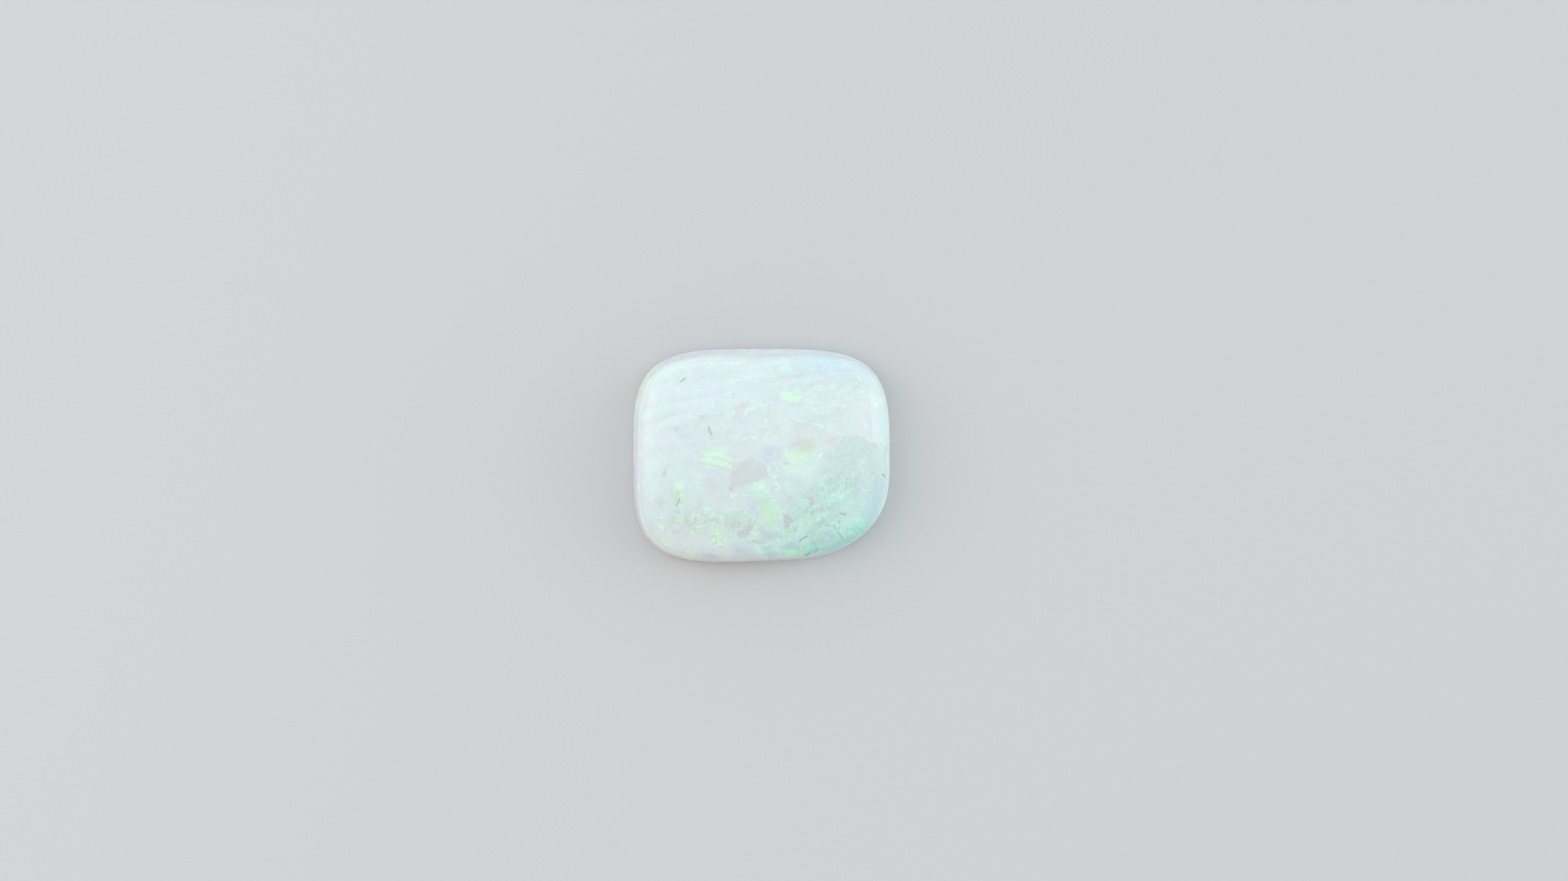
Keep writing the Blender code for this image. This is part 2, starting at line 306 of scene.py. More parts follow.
# Flashes with crisp edges: cast, share, comb, middle x and y, half length and half width in mm, turn.
# The comb is how strongly fine stripes break the flash, which run along it.
FLASHES = (
    (LIME, 0.6, 0.5, -2.5, 5.32, 0.44, 0.12, 0),
    (MINT, 0.5, 0.6, -2.62, 5.15, 0.25, 0.14, 55),
    (MINT, 0.5, 0.3, -2.8, 4.9, 0.2, 0.05, 48),
    (WHITE, 0.5, 0.0, -3.2, 5.36, 0.13, 0.03, 3),
    (MINT, 0.6, 0.2, -3.92, 5.22, 0.25, 0.06, -8),
    (MINT, 0.5, 0.2, -5.5, 4.5, 0.6, 0.05, 30),
    (LIME, 0.6, 0.2, -0.95, 5.70, 0.38, 0.05, 3),
    (LIME, 0.7, 0.2, -1.22, 5.15, 0.28, 0.15, 42),
    (MINT, 0.4, 0.5, -1.7, 5.03, 0.35, 0.08, 15),
    (MINT, 0.5, 0.3, -0.18, 4.06, 0.2, 0.05, 15),
    (WHITE, 0.5, 0.0, -4.14, 4.58, 0.12, 0.12, 0),
    (WHITE, 0.6, 0.3, 3.4, 4.84, 0.14, 0.09, 30),
    (WHITE, 0.6, 0.2, 2.83, 4.77, 0.2, 0.04, 10),
    (BLUE, 0.5, 0.5, 3.4, 4.49, 0.14, 0.1, 80),
    (MINT, 0.9, 0.2, 5.35, 4.18, 0.22, 0.08, -40),
    (LIME, 0.7, 0.3, 4.37, 3.9, 0.09, 0.05, 40),
    (MINT, 0.5, 0.2, 3.8, 3.8, 0.15, 0.09, 20),
    (MINT, 0.8, 0.2, 5.5, 3.54, 0.18, 0.06, 45),
    (LIME, 0.6, 0.6, 4.59, 3.14, 0.18, 0.11, -40),
    (MINT, 0.7, 0.4, 6.2, 2.8, 0.1, 0.14, 0),
    (ROSE, 0.7, 0.3, 5.1, 3.73, 0.14, 0.04, -10),
    (ROSE, 0.8, 0.2, 5.8, 3.66, 0.09, 0.1, 40),
    (ROSE, 0.6, 0.2, 4.82, 3.54, 0.2, 0.06, 80),
    (LIME, 0.5, 0.2, -5.06, 2.1, 0.13, 0.07, 10),
    (LIME, 0.5, 0.3, -5.25, 2.38, 0.14, 0.04, 5),
    (LIME, 0.8, 0.3, -3.6, 2.07, 0.18, 0.06, -5),
    (WINE, 0.4, 0.4, -3.1, 2.15, 0.25, 0.11, 10),
    (MINT, 0.6, 0.0, -2.9, 2.2, 0.06, 0.05, 0),
    (LIME, 0.8, 0.0, -2.36, 2.33, 0.09, 0.08, 0),
    (ROSE, 0.9, 0.2, -2.15, 2.22, 0.1, 0.07, 20),
    (LIME, 0.7, 0.0, -1.86, 2.4, 0.06, 0.08, 0),
    (LIME, 0.9, 0.3, -1.53, 2.33, 0.16, 0.06, 80),
    (LIME, 0.8, 0.2, -1.84, 2.08, 0.2, 0.05, -10),
    (BLUSH, 1.3, 0.1, -1.2, 2.38, 0.38, 0.2, 62),
    (BLUSH, 1.0, 0.4, -1.03, 2.71, 0.3, 0.08, 10),
    (ROSE, 1.0, 0.0, -1.46, 1.98, 0.1, 0.05, 20),
    (LIME, 1.0, 0.3, -0.56, 2.54, 0.32, 0.1, 20),
    (LIME, 1.0, 0.2, -0.85, 2.35, 0.17, 0.1, 70),
    (LIME, 0.8, 0.0, -0.51, 2.97, 0.17, 0.06, 5),
    (LIME, 0.7, 0.2, -1.32, 1.81, 0.2, 0.04, 12),
    (ROSE, 0.7, 0.3, -0.05, 2.6, 0.2, 0.05, -30),
    (LIME, 0.7, 0.3, 0.45, 2.88, 0.26, 0.15, 30),
    (LIME, 0.6, 0.5, 0.12, 2.35, 0.3, 0.1, -60),
    (ROSE, 0.6, 0.7, 0.8, 3.16, 0.15, 0.1, 40),
    (LIME, 0.4, 0.6, 1.08, 2.54, 0.2, 0.14, 5),
    (LIME, 0.8, 0.3, 0.18, 2.36, 0.15, 0.12, -50),
    (LILAC, 0.9, 0.0, 0.51, 2.1, 0.2, 0.1, 10),
    (LIME, 0.6, 0.2, 0.23, 1.88, 0.09, 0.1, 0),
    (LIME, 0.5, 0.6, 2.7, 3.36, 0.3, 0.07, -5),
    (BROWN, 0.5, 0.3, 2.45, 3.63, 0.2, 0.03, 40),
    (MINT, 0.8, 0.2, 2.86, 2.52, 0.14, 0.06, -40),
    (LILAC, 0.8, 0.0, 3.0, 2.7, 0.13, 0.08, 0),
    (MINT, 0.6, 0.9, 3.55, 2.36, 0.4, 0.06, 6),
    (MINT, 0.5, 0.3, 2.43, 2.4, 0.17, 0.05, 80),
    (MINT, 0.4, 0.2, 2.25, 1.9, 0.3, 0.05, -5),
    (LIME, 0.55, 1.0, 1.9, -0.1, 0.75, 0.36, -3),
    (LIME, 0.5, 1.0, 2.0, -0.68, 0.7, 0.22, -2),
    (WHITE, 0.6, 0.5, 1.3, 1.87, 0.12, 0.06, 50),
    (LIME, 0.6, 0.2, 0.6, 1.6, 0.25, 0.04, 15),
    (PEACH, 0.7, 0.0, 0.85, 1.46, 0.13, 0.06, 10),
    (MINT, 0.5, 0.2, 1.15, 1.54, 0.12, 0.04, 10),
    (LIME, 0.6, 0.2, 4.3, 1.22, 0.3, 0.04, -5),
    (WINE, 0.6, 0.2, -4.63, 1.42, 0.2, 0.12, 38),
    (MINT, 0.7, 0.3, -5.82, 1.4, 0.17, 0.05, 5),
    (MINT, 0.4, 0.5, -4.0, 1.33, 0.35, 0.04, 5),
    (LIME, 0.6, 0.9, -2.2, 1.32, 0.14, 0.26, 80),
    (ROSE, 1.0, 0.0, -1.86, 1.24, 0.13, 0.04, 10),
    (BROWN, 0.8, 0.0, -2.67, 0.92, 0.1, 0.06, 20),
    (MINT, 0.7, 0.4, -0.7, 0.98, 0.6, 0.05, 14),
    (LIME, 0.5, 0.3, -3.2, 0.25, 0.16, 0.12, 60),
    (MINT, 1.3, 0.0, 0.63, -0.34, 0.10, 0.07, 0),
    (LIME, 1.3, 0.0, 0.44, -0.46, 0.10, 0.07, -10),
    (WHITE, 2.0, 0.0, 0.74, -0.50, 0.06, 0.05, 0),
    (MINT, 1.2, 0.2, 0.41, -0.69, 0.06, 0.09, 0),
    (MINT, 1.1, 0.2, 0.87, -0.74, 0.16, 0.07, -42),
    (LIME, 0.9, 0.2, 0.75, -1.1, 0.13, 0.08, 0),
    (MINT, 0.6, 0.3, 0.63, -1.4, 0.11, 0.1, 0),
    (MINT, 1.2, 0.4, 0.85, -1.53, 0.17, 0.08, -40),
    (MINT, 1.0, 0.2, 0.88, -1.75, 0.18, 0.05, 18),
    (MINT, 0.25, 0.5, 0.04, -1.62, 0.22, 0.2, 0),
    (MINT, 0.9, 0.3, 0.22, -1.97, 0.2, 0.07, 0),
    (LIME, 1.0, 0.2, -0.51, -1.78, 0.22, 0.11, 5),
    (LIME, 0.7, 0.9, -0.2, -2.13, 0.7, 0.08, 0),
    (OLIVE, 0.8, 0.4, -0.1, -2.45, 0.25, 0.16, 5),
    (OLIVE, 0.6, 0.0, -0.5, -1.38, 0.3, 0.08, 18),
    (BROWN, 0.8, 0.2, -1.65, -1.79, 0.14, 0.1, 0),
    (MINT, 0.7, 0.3, -1.55, -2.12, 0.22, 0.12, 10),
    (LIME, 0.9, 0.3, 1.38, 0.33, 0.1, 0.1, 60),
    (BROWN, 0.7, 0.4, 1.42, -0.4, 0.16, 0.09, 0),
    (LIME, 0.7, 0.3, -4.35, -2.27, 0.38, 0.11, 78),
    (OLIVE, 0.7, 0.7, -4.73, -2.08, 0.35, 0.17, 50),
    (MINT, 0.4, 0.4, -3.6, -1.42, 0.6, 0.04, -8),
    (ROSE, 0.6, 0.2, -2.85, -1.62, 0.2, 0.04, -28),
    (WHITE, 0.4, 0.0, -5.2, -2.2, 0.42, 0.02, 73),
    (MINT, 0.8, 0.0, -5.68, -2.7, 0.1, 0.06, 0),
    (WHITE, 0.8, 0.0, -5.63, -2.43, 0.07, 0.03, 50),
    (BROWN, 0.7, 0.5, -4.6, -2.98, 0.12, 0.09, 60),
    (MINT, 0.8, 0.4, -2.88, -2.83, 0.24, 0.12, -10),
    (OLIVE, 0.8, 0.3, -3.33, -2.83, 0.14, 0.08, 10),
    (LIME, 0.9, 0.6, -3.4, -3.26, 0.22, 0.12, 60),
    (LIME, 0.8, 0.3, -2.79, -3.26, 0.13, 0.09, -10),
    (ROSE, 1.2, 0.2, -2.79, -3.5, 0.11, 0.06, 20),
    (ROSE, 0.8, 0.3, -4.0, -3.17, 0.17, 0.12, 60),
    (LIME, 0.7, 0.2, -4.42, -3.52, 0.12, 0.07, 0),
    (LIME, 0.7, 0.7, -6.62, -2.3, 0.6, 0.045, 92),
    (MINT, 0.5, 0.6, -6.45, -3.5, 0.6, 0.06, 106),
    (LIME, 0.6, 0.6, -5.95, -4.5, 0.5, 0.05, 128),
    (LILAC, 0.8, 0.4, -6.2, -2.0, 0.4, 0.12, 80),
    (MINT, 0.6, 0.4, -5.4, -3.3, 0.16, 0.12, 20),
    (MINT, 0.7, 0.4, -5.42, -3.78, 0.2, 0.1, -50),
    (LIME, 1.0, 0.2, -2.5, -5.25, 0.1, 0.09, -40),
    (IRIS, 0.5, 0.0, -2.84, -5.32, 0.12, 0.1, 0),
    (IRIS, 0.5, 0.2, -2.85, -5.52, 0.16, 0.07, -20),
    (IRIS, 0.5, 0.2, -2.52, -5.45, 0.12, 0.06, -30),
    (IRIS, 0.6, 0.0, -1.3, -5.1, 0.12, 0.08, 80),
    (TAN, 0.7, 0.9, -1.1, -3.72, 0.6, 0.24, 32),
    (BROWN, 0.8, 0.6, -1.0, -4.2, 0.4, 0.18, 35),
    (BROWN, 0.7, 0.5, -0.6, -3.85, 0.3, 0.15, 60),
    (WINE, 1.1, 0.2, -0.27, -4.65, 0.36, 0.11, 0),
    (MINT, 0.7, 0.9, 0.0, -5.06, 0.34, 0.2, -35),
    (AZURE, 0.9, 0.4, 1.08, -5.02, 0.1, 0.14, 30),
    (AZURE, 1.1, 0.5, 1.05, -5.5, 0.42, 0.1, 10),
    (LEAF, 1.0, 0.0, 1.68, -5.27, 0.48, 0.18, 0),
    (WINE, 0.9, 0.4, 3.0, -5.05, 0.16, 0.07, 60),
    (WHITE, 0.7, 0.3, 0.95, -4.55, 0.14, 0.06, 20),
    (ROSE, 0.9, 0.4, 1.6, -2.35, 0.35, 0.05, -50),
    (VIOLET, 0.8, 0.0, 1.84, -2.6, 0.09, 0.08, 0),
    (MINT, 0.8, 0.3, 3.3, -2.2, 0.2, 0.08, -50),
    (LIME, 0.8, 0.5, 4.6, -1.33, 0.3, 0.13, 10),
    (BROWN, 0.7, 0.4, 4.75, -1.57, 0.25, 0.06, 15),
    (LIME, 0.7, 0.5, 4.78, -1.85, 0.2, 0.12, 40),
    (MINT, 0.8, 0.3, 4.3, -2.2, 0.18, 0.12, 0),
    (MINT, 1.0, 0.2, 4.5, -4.3, 0.18, 0.04, -50),
)

# Flashes with corners of their own: cast, share, comb, turn of the stripes, corners anticlockwise.
CORNERED_FLASHES = (
    (
        LIME, 1.2, 0.05, 0,
        (
            (0.98, 3.55), (1.1, 3.28), (1.36, 3.03), (1.6, 2.92),
            (1.93, 2.95), (2.17, 3.1), (2.38, 3.34), (1.63, 3.48),
        ),
    ),
    (
        SPRING, 1.0, 0.05, 0,
        ((1.66, 3.36), (2.0, 3.34), (2.14, 3.42), (2.05, 3.62), (1.91, 3.86), (1.72, 3.7)),
    ),
    (
        LEAF, 1.0, 0.3, 58,
        ((2.18, -5.5), (2.36, -5.5), (2.66, -5.18), (2.82, -4.72), (2.68, -4.66), (2.32, -5.08)),
    ),
)

# Curved strokes over the flashes, one of them a painted shadow: cast, share, softness and half width in mm,
# and the path's points.
STROKES = (
    (LIME, 1.1, 0.14, 0.15, ((-3.0, 0.12), (-2.4, 0.1), (-2.0, -0.01), (-1.66, -0.18))),
    (BROWN, 0.8, 0.08, 0.12, ((-5.26, -1.0), (-5.2, -0.78))),
    (MINT, 0.7, 0.03, 0.035, ((-2.95, 1.02), (-2.86, 0.82), (-2.88, 0.7))),
    (MINT, 0.8, 0.03, 0.04, ((-2.62, 0.74), (-2.4, 0.86), (-2.26, 0.84))),
    (BROWN, 0.35, 0.03, 0.035, ((-5.5, 1.96), (-4.9, 2.18), (-4.1, 2.52))),
    (LIME, 1.3, 0.05, 0.14, ((-3.24, -0.18), (-2.8, -0.22), (-2.3, -0.34), (-1.9, -0.47), (-1.66, -0.57))),
    (DUSK, 0.8, 0.04, 0.04, ((-3.1, -0.4), (-2.5, -0.52), (-2.15, -0.64), (-1.75, -0.8))),
    (LIME, 0.8, 0.04, 0.045, ((-3.2, -0.53), (-2.8, -0.6), (-2.35, -0.72))),
    (CLOUD, 0.3, 0.03, 0.035, ((1.62, 3.3), (1.8, 3.36), (2.05, 3.32), (2.4, 3.3))),
    (ROSE, 0.7, 0.04, 0.04, ((2.15, 3.45), (2.35, 3.52), (2.62, 3.75))),
    (LIME, 0.7, 0.07, 0.06, ((2.38, 3.38), (2.6, 3.36), (2.98, 3.4))),
    (LIME, 1.1, 0.03, 0.06, ((1.36, 0.1), (1.33, 0.3), (1.4, 0.46))),
    (WHITE, 1.0, 0.02, 0.035, ((1.78, 0.22), (2.1, 0.28))),
    (WHITE, 1.0, 0.02, 0.035, ((2.06, -0.05), (2.38, 0.02))),
    (LIME, 0.9, 0.05, 0.035, ((1.25, -0.14), (1.7, -0.12), (2.25, -0.17))),
    (ROSE, 0.9, 0.03, 0.04, ((1.2, -0.42), (1.4, -0.44), (1.62, -0.4))),
    (WHITE, 0.7, 0.03, 0.035, ((1.28, -0.53), (1.62, -0.51))),
    (LIME, 0.7, 0.08, 0.05, ((2.5, -0.05), (2.85, 0.05), (3.2, 0.1))),
    (MINT, 0.8, 0.03, 0.035, ((1.55, 1.98), (2.1, 1.97), (2.6, 1.9))),
    (MINT, 0.8, 0.07, 0.06, ((2.7, 1.8), (3.1, 1.7), (3.44, 1.57))),
    (WHITE, 0.8, 0.03, 0.04, ((4.0, 1.6), (4.24, 1.86))),
    (WHITE, 0.7, 0.03, 0.035, ((4.06, 1.54), (4.24, 1.62))),
    (MINT, 1.0, 0.03, 0.05, ((2.85, 0.16), (3.05, 0.28), (3.32, 0.44))),
    (WHITE, 1.1, 0.02, 0.04, ((3.0, -0.33), (3.12, 0.0))),
    (MINT, 0.9, 0.04, 0.07, ((3.18, -0.05), (3.24, 0.18))),
    (WHITE, 0.9, 0.02, 0.035, ((3.34, 0.92), (3.52, 0.94))),
    (ROSE, 0.6, 0.05, 0.04, ((1.45, 0.5), (1.65, 0.72))),
    (ROSE, 0.6, 0.05, 0.04, ((1.62, 0.5), (1.82, 0.74))),
    (ROSE, 0.7, 0.05, 0.045, ((1.76, 0.52), (2.0, 0.84))),
    (ROSE, 0.7, 0.05, 0.045, ((1.94, 0.6), (2.16, 0.94))),
    (ROSE, 0.5, 0.05, 0.04, ((2.12, 0.72), (2.34, 1.04))),
    (WHITE, 0.7, 0.03, 0.035, ((1.36, 1.2), (1.5, 1.28), (1.62, 1.22))),
    (WHITE, 0.6, 0.03, 0.04, ((1.68, 1.22), (1.8, 1.08), (1.98, 0.98))),
    (WHITE, 0.4, 0.04, 0.035, ((2.2, 1.02), (2.7, 1.15), (3.3, 1.3))),
    (LIME, 0.6, 0.04, 0.05, ((4.05, 1.26), (4.45, 1.16))),
    (
        WHITE, 0.6, 0.03, 0.035,
        ((3.3, 0.56), (3.5, 0.66), (3.72, 0.55), (3.95, 0.7), (4.2, 0.88), (4.48, 1.1)),
    ),
    (WHITE, 0.4, 0.05, 0.035, ((4.87, 3.35), (4.9, 4.2), (4.86, 5.0))),
    (WHITE, 0.35, 0.05, 0.035, ((4.67, 1.27), (4.69, 3.0))),
    (WHITE, 0.3, 0.05, 0.035, ((-2.6, 1.9), (-2.62, 3.2))),
    (WHITE, 0.4, 0.04, 0.035, ((-1.84, -3.8), (-1.1, -4.62), (-0.27, -5.5))),
    (WHITE, 0.35, 0.04, 0.035, ((-1.35, -0.78), (-0.55, -1.32))),
    (PINKISH, 0.8, 0.03, 0.035, ((5.6, 1.0), (5.8, 0.9), (6.0, 0.72))),
    (DUSK, 1.0, 0.03, 0.035, ((6.06, 0.6), (6.24, 0.72))),
    (WHITE, 0.9, 0.03, 0.035, ((6.22, 0.58), (6.4, 0.7))),
    (DUSK, 1.0, 0.03, 0.035, ((6.42, 0.62), (6.56, 0.72))),
    (WHITE, 0.9, 0.03, 0.035, ((6.58, 0.66), (6.8, 0.82))),
    (GREEN, 1.2, 0.05, 0.045, ((1.2, -5.17), (1.6, -5.19), (2.04, -5.17))),
    (GREEN, 1.2, 0.05, 0.05, ((1.26, -5.29), (1.6, -5.31), (2.08, -5.29))),
    (GREEN, 0.9, 0.05, 0.035, ((1.4, -5.4), (1.7, -5.41), (1.95, -5.38))),
    (GREEN, 1.2, 0.06, 0.05, ((2.22, -5.38), (2.4, -5.07), (2.72, -4.72))),
    (GREEN, 0.8, 0.05, 0.035, ((2.34, -5.42), (2.56, -5.1), (2.76, -4.84))),
    (IRIS, 0.35, 0.2, 0.12, ((0.0, 0.5), (-0.03, 0.1), (0.1, -0.28), (0.26, -0.48))),
    (IRIS, 0.5, 0.1, 0.07, ((1.06, -4.95), (1.02, -5.2), (0.9, -5.45))),
    (LIME, 1.5, 0.04, 0.075, ((4.02, -3.58), (4.16, -3.84))),
    (LIME, 1.5, 0.04, 0.065, ((4.22, -3.96), (4.36, -4.18))),
    (MINT, 1.5, 0.04, 0.06, ((4.42, -4.26), (4.54, -4.44))),
    (DEEP, 1.0, 0.03, 0.045, ((3.88, -3.66), (4.08, -4.0), (4.46, -4.55))),
    (MINT, 1.1, 0.03, 0.045, ((3.74, -3.8), (3.84, -3.92))),
    (WHITE, 0.9, 0.03, 0.035, ((3.92, -4.04), (4.0, -4.18))),
    (MINT, 0.8, 0.03, 0.035, ((4.08, -4.28), (4.28, -4.56))),
    (WHITE, 1.1, 0.03, 0.07, ((5.45, -1.73), (5.64, -1.9))),
    (WHITE, 1.0, 0.02, 0.045, ((5.7, -2.16), (5.76, -2.18))),
    # A painted shadow just below the small white speck.
    (DUSK, 1.2, 0.02, 0.035, ((5.68, -2.25), (5.76, -2.27))),
    (WHITE, 0.6, 0.03, 0.035, ((1.3, -4.62), (1.9, -4.64), (2.12, -4.9), (2.16, -5.5))),
    (DEEP, 0.9, 0.03, 0.045, ((2.9, -5.2), (3.0, -4.98))),
    (WHITE, 0.4, 0.03, 0.035, ((-5.38, -2.7), (-5.1, -2.0), (-4.8, -1.42))),
)

# Dark fibres on the stone: x and y of the start, middle and end, in mm.
DARK_FIBRES = (
    ((-4.42, 4.01), (-4.28, 4.11), (-4.09, 4.26)),
    ((-2.80, 1.62), (-2.82, 1.42), (-2.64, 1.08)),
    ((-4.42, -2.24), (-4.47, -2.45), (-4.63, -2.73)),
    ((2.04, -4.63), (2.27, -4.45), (2.51, -4.34)),
    ((4.23, -3.09), (4.42, -3.13), (4.61, -3.21)),
    ((2.40, -5.43), (2.50, -5.35), (2.68, -5.26)),
    ((6.56, -0.97), (6.64, -1.03), (6.78, -1.15)),
)

# Dark specks on the stone: x, y and radius in mm.
DARK_SPECKS = (
    (-1.52, 3.32, 0.0210),
    (5.78, 1.27, 0.0140),
    (5.30, -0.03, 0.0210),
    (-1.14, -3.84, 0.0175),
    (-0.47, -2.74, 0.0175),
    (1.53, -4.85, 0.0210),
    (-4.34, -2.53, 0.0175),
    (4.59, -3.08, 0.0210),
)

# Pale fibres that reach out from the edge: x, y and z in mm. The speck's fourth number is its radius.
PALE_FIBRES = (
    ((6.83, 0.66, 1.45), (7.04, 0.80, 1.52), (7.10, 0.95, 1.44)),
    ((6.84, 1.10, 1.30), (6.94, 1.24, 1.34), (6.99, 1.42, 1.36)),
    ((-6.83, 0.48, 1.45), (-7.04, 0.62, 1.50), (-7.10, 0.78, 1.42)),
)
PALE_SPECKS = ((6.94, -0.73, 0.9, 0.03),)

# The cloudy zone's upper edge: x and y in mm, from left to right.
CLOUD_ARCH = (
    (2.6, -2.0),
    (3.2, 0.3),
    (3.35, 0.54),
    (3.5, 0.62),
    (3.75, 0.5),
    (4.2, 0.84),
    (4.5, 1.1),
    (5.1, 1.16),
    (5.5, 1.06),
    (5.9, 0.78),
    (6.9, 0.6),
)

# Where the fine grain shows: share, middle x and y, half length and half width in mm, turn.
FEATHER_ZONES = (
    (1.0, 2.6, -3.2, 2.6, 1.7, 40),
    (0.9, -3.5, -3.6, 1.7, 0.9, 0),
    (0.8, -0.9, -3.9, 1.3, 0.9, 30),
    (0.8, 4.5, -1.8, 1.1, 1.2, 0),
    (0.5, -4.7, -2.2, 0.6, 0.7, 50),
    (0.3, 2.2, 0.7, 0.9, 0.3, 30),
)
SPECKLE_ZONES = (
    (1.5, -2.36, -4.45, 0.38, 0.5, -10),
    (1.4, -5.16, -4.75, 0.6, 0.22, -42),
    (1.1, -3.4, -5.35, 0.4, 0.2, -10),
    (1.0, -1.95, -4.95, 0.25, 0.2, 0),
    (0.9, -3.3, -3.9, 1.0, 0.4, -5),
    (0.7, -3.5, -3.25, 0.9, 0.4, 10),
    (0.5, -4.9, -3.7, 0.8, 0.7, 0),
    (0.45, -3.5, -1.5, 0.9, 0.16, -8),
    (0.8, -4.42, -1.65, 0.26, 0.26, 0),
    (0.3, -1.0, 2.4, 1.6, 0.4, 12),
    (0.4, -4.7, 2.35, 0.9, 0.14, 18),
    (0.9, -3.9, -5.3, 1.3, 0.22, -12),
    (0.35, 0.5, 2.5, 0.6, 0.8, 50),
    (0.3, 5.0, 3.6, 0.9, 0.6, 0),
    (0.6, -0.5, -4.4, 0.7, 0.5, 0),
    (0.2, 0.5, -1.4, 0.9, 0.9, 0),
    (0.5, 4.6, -1.4, 0.9, 0.5, 0),
    (0.2, -3.0, 4.9, 2.6, 0.6, 6),
)
BEAD_ZONES = (
    (1.2, 5.35, -3.6, 0.35, 0.45, 20),
    (1.2, 5.1, -4.15, 0.7, 0.2, 5),
    (1.0, 4.5, -3.75, 0.6, 0.4, -20),
    (0.45, 3.4, -3.9, 0.8, 0.7, 40),
    (0.45, 2.4, -3.6, 1.3, 1.0, 40),
    (0.45, 3.6, -2.2, 0.9, 0.6, 30),
    (0.4, 3.0, -4.7, 0.6, 0.4, 0),
    (0.6, 0.62, -0.6, 0.3, 0.2, -50),
    (0.5, 0.8, -1.15, 0.3, 0.3, 0),
    (0.6, 1.0, -4.5, 0.9, 0.12, -5),
    (0.6, -0.25, -4.2, 0.3, 0.3, 0),
)

# Casts round the rim, partly the stone's colour and partly painted shade and painted light: the part, the
# bearing of the middle and the half width in degrees, the cast.
RIM_CASTS_AND_PAINTED_LIGHT = (
    ("wall", 165.0, 70.0, cast(2, -10, -5)),
    # The browns below are partly the rim's colour and partly painted shade; the teal at 314 degrees is
    # colour.
    ("shoulder", 250.0, 42.0, cast(-8, -16, -19)),
    ("foot", 248.0, 42.0, cast(-16, -46, -62)),
    ("shoulder", 314.0, 20.0, cast(-26, -12, -14)),
    # Painted shade and painted light on the shoulder's highlight band, darker or paler by bearing.
    ("painted_highlight_band", 172.0, 40.0, cast(-3, -9, -9)),
    ("painted_highlight_band", 203.0, 16.0, cast(-7, -7, -8)),
    ("painted_highlight_band", 90.0, 10.0, cast(-4, -5, -5)),
    ("painted_highlight_band", 277.0, 14.0, cast(-11, 2, -3)),
    ("painted_highlight_band", 52.0, 16.0, cast(6, 5, 4)),
    ("painted_highlight_band", 346.0, 9.0, cast(-5, -4, -3)),
    # The paler walls at 335, 8 and 85 degrees are painted light; the lime at 150 degrees is colour.
    ("wall", 335.0, 22.0, cast(6, 12, 16)),
    ("wall", 150.0, 9.0, LIME),
    ("wall", 8.0, 26.0, cast(12, 18, 16)),
    ("wall", 85.0, 30.0, cast(6, 6, 10)),
)


def fade(angle, feature):
    """The feature's amount, times exp(focus * (cos(angle from its bearing) - 1))."""
    turn = angle - math.radians(feature["bearing"])
    return feature["amount"] * np.exp(feature["focus"] * (np.cos(turn) - 1.0))


def girdle(angle):
    """x and y of the girdle at each angle.

    The radius is (|cos / half length|^p + |sin / half width|^p)^(-1/p), with the power p
    lowered at the rounder corner and the radius trimmed at the cropped edge.
    """
    power = SQUARENESS - fade(angle, ROUNDED_CORNER)
    across = np.abs(np.cos(angle) / HALF_LENGTH) ** power
    along = np.abs(np.sin(angle) / HALF_WIDTH) ** power
    radius = (across + along) ** (-1.0 / power)
    radius = radius * (1.0 - fade(angle, CROPPED_EDGE) + fade(angle, FULL_CORNER))
    return np.stack((radius * np.cos(angle), radius * np.sin(angle)), axis=-1)


def girdle_normal(angle):
    """The outward unit normal: the chord between two near points of the girdle, turned a quarter."""
    nudge = 0.01
    chord = girdle(angle + nudge) - girdle(angle - nudge)
    normal = np.stack((chord[..., 1], -chord[..., 0]), axis=-1)
    return normal / np.linalg.norm(normal, axis=-1, keepdims=True)


def dome_height(place):
    """An elliptic paraboloid: the peak less the drop times (x / half length)^2 + (y / half width)^2."""
    share = (place[..., 0] / HALF_LENGTH) ** 2 + (place[..., 1] / HALF_WIDTH) ** 2
    return PEAK - DOME_DROP * share


def dome_tilt(place, normal):
    """The angle whose tangent is the dome's fall per metre along the normal."""
    fall = normal[..., 0] * place[..., 0] / HALF_LENGTH**2
    fall = fall + normal[..., 1] * place[..., 1] / HALF_WIDTH**2
    return np.arctan(2.0 * DOME_DROP * fall)


def shoulder_arc(lean, tilt):
    """Inset and rise over the wall's top, on the shoulder's arc where its surface has this tilt."""
    wall_tilt = math.pi / 2 - lean
    inset = SHOULDER_RADIUS * (np.sin(wall_tilt) - np.sin(tilt))
    rise = SHOULDER_RADIUS * (np.cos(tilt) - np.cos(wall_tilt))
    return inset, rise


def wall_top(edge, normal, lean):
    """Inset and height of the wall's top, and the tilt at which its shoulder meets the dome.

    The wall's height and the shoulder's end each follow from the other, so they are worked out
    in turn until they agree.
    """
    height = np.full(lean.shape, PEAK - DOME_DROP - SHOULDER_RADIUS)
    tilt = np.zeros(lean.shape)
    for _ in range(6):
        arc_inset, arc_rise = shoulder_arc(lean, tilt)
        inset = (height - GIRDLE_HEIGHT) * np.tan(lean) + arc_inset
        place = edge - normal * inset[..., None]
        tilt = dome_tilt(place, normal)
        height = dome_height(place) - arc_rise
    return (height - GIRDLE_HEIGHT) * np.tan(lean), height, tilt


def square_rings():
    """A square grid seen as rings round its middle: each vertex's ring, and its angle round the stone.

    The ring is max(|column|, |row|). The angle is that of the same place on a square stretched
    to the stone's length and width, so it has no pole.
    """
    steps = np.arange(-RINGS, RINGS + 1)
    column, row = np.meshgrid(steps, steps, indexing="ij")
    ring = np.maximum(np.abs(column), np.abs(row))
    angle = np.arctan2(row * HALF_WIDTH, column * HALF_LENGTH)
    return ring, angle


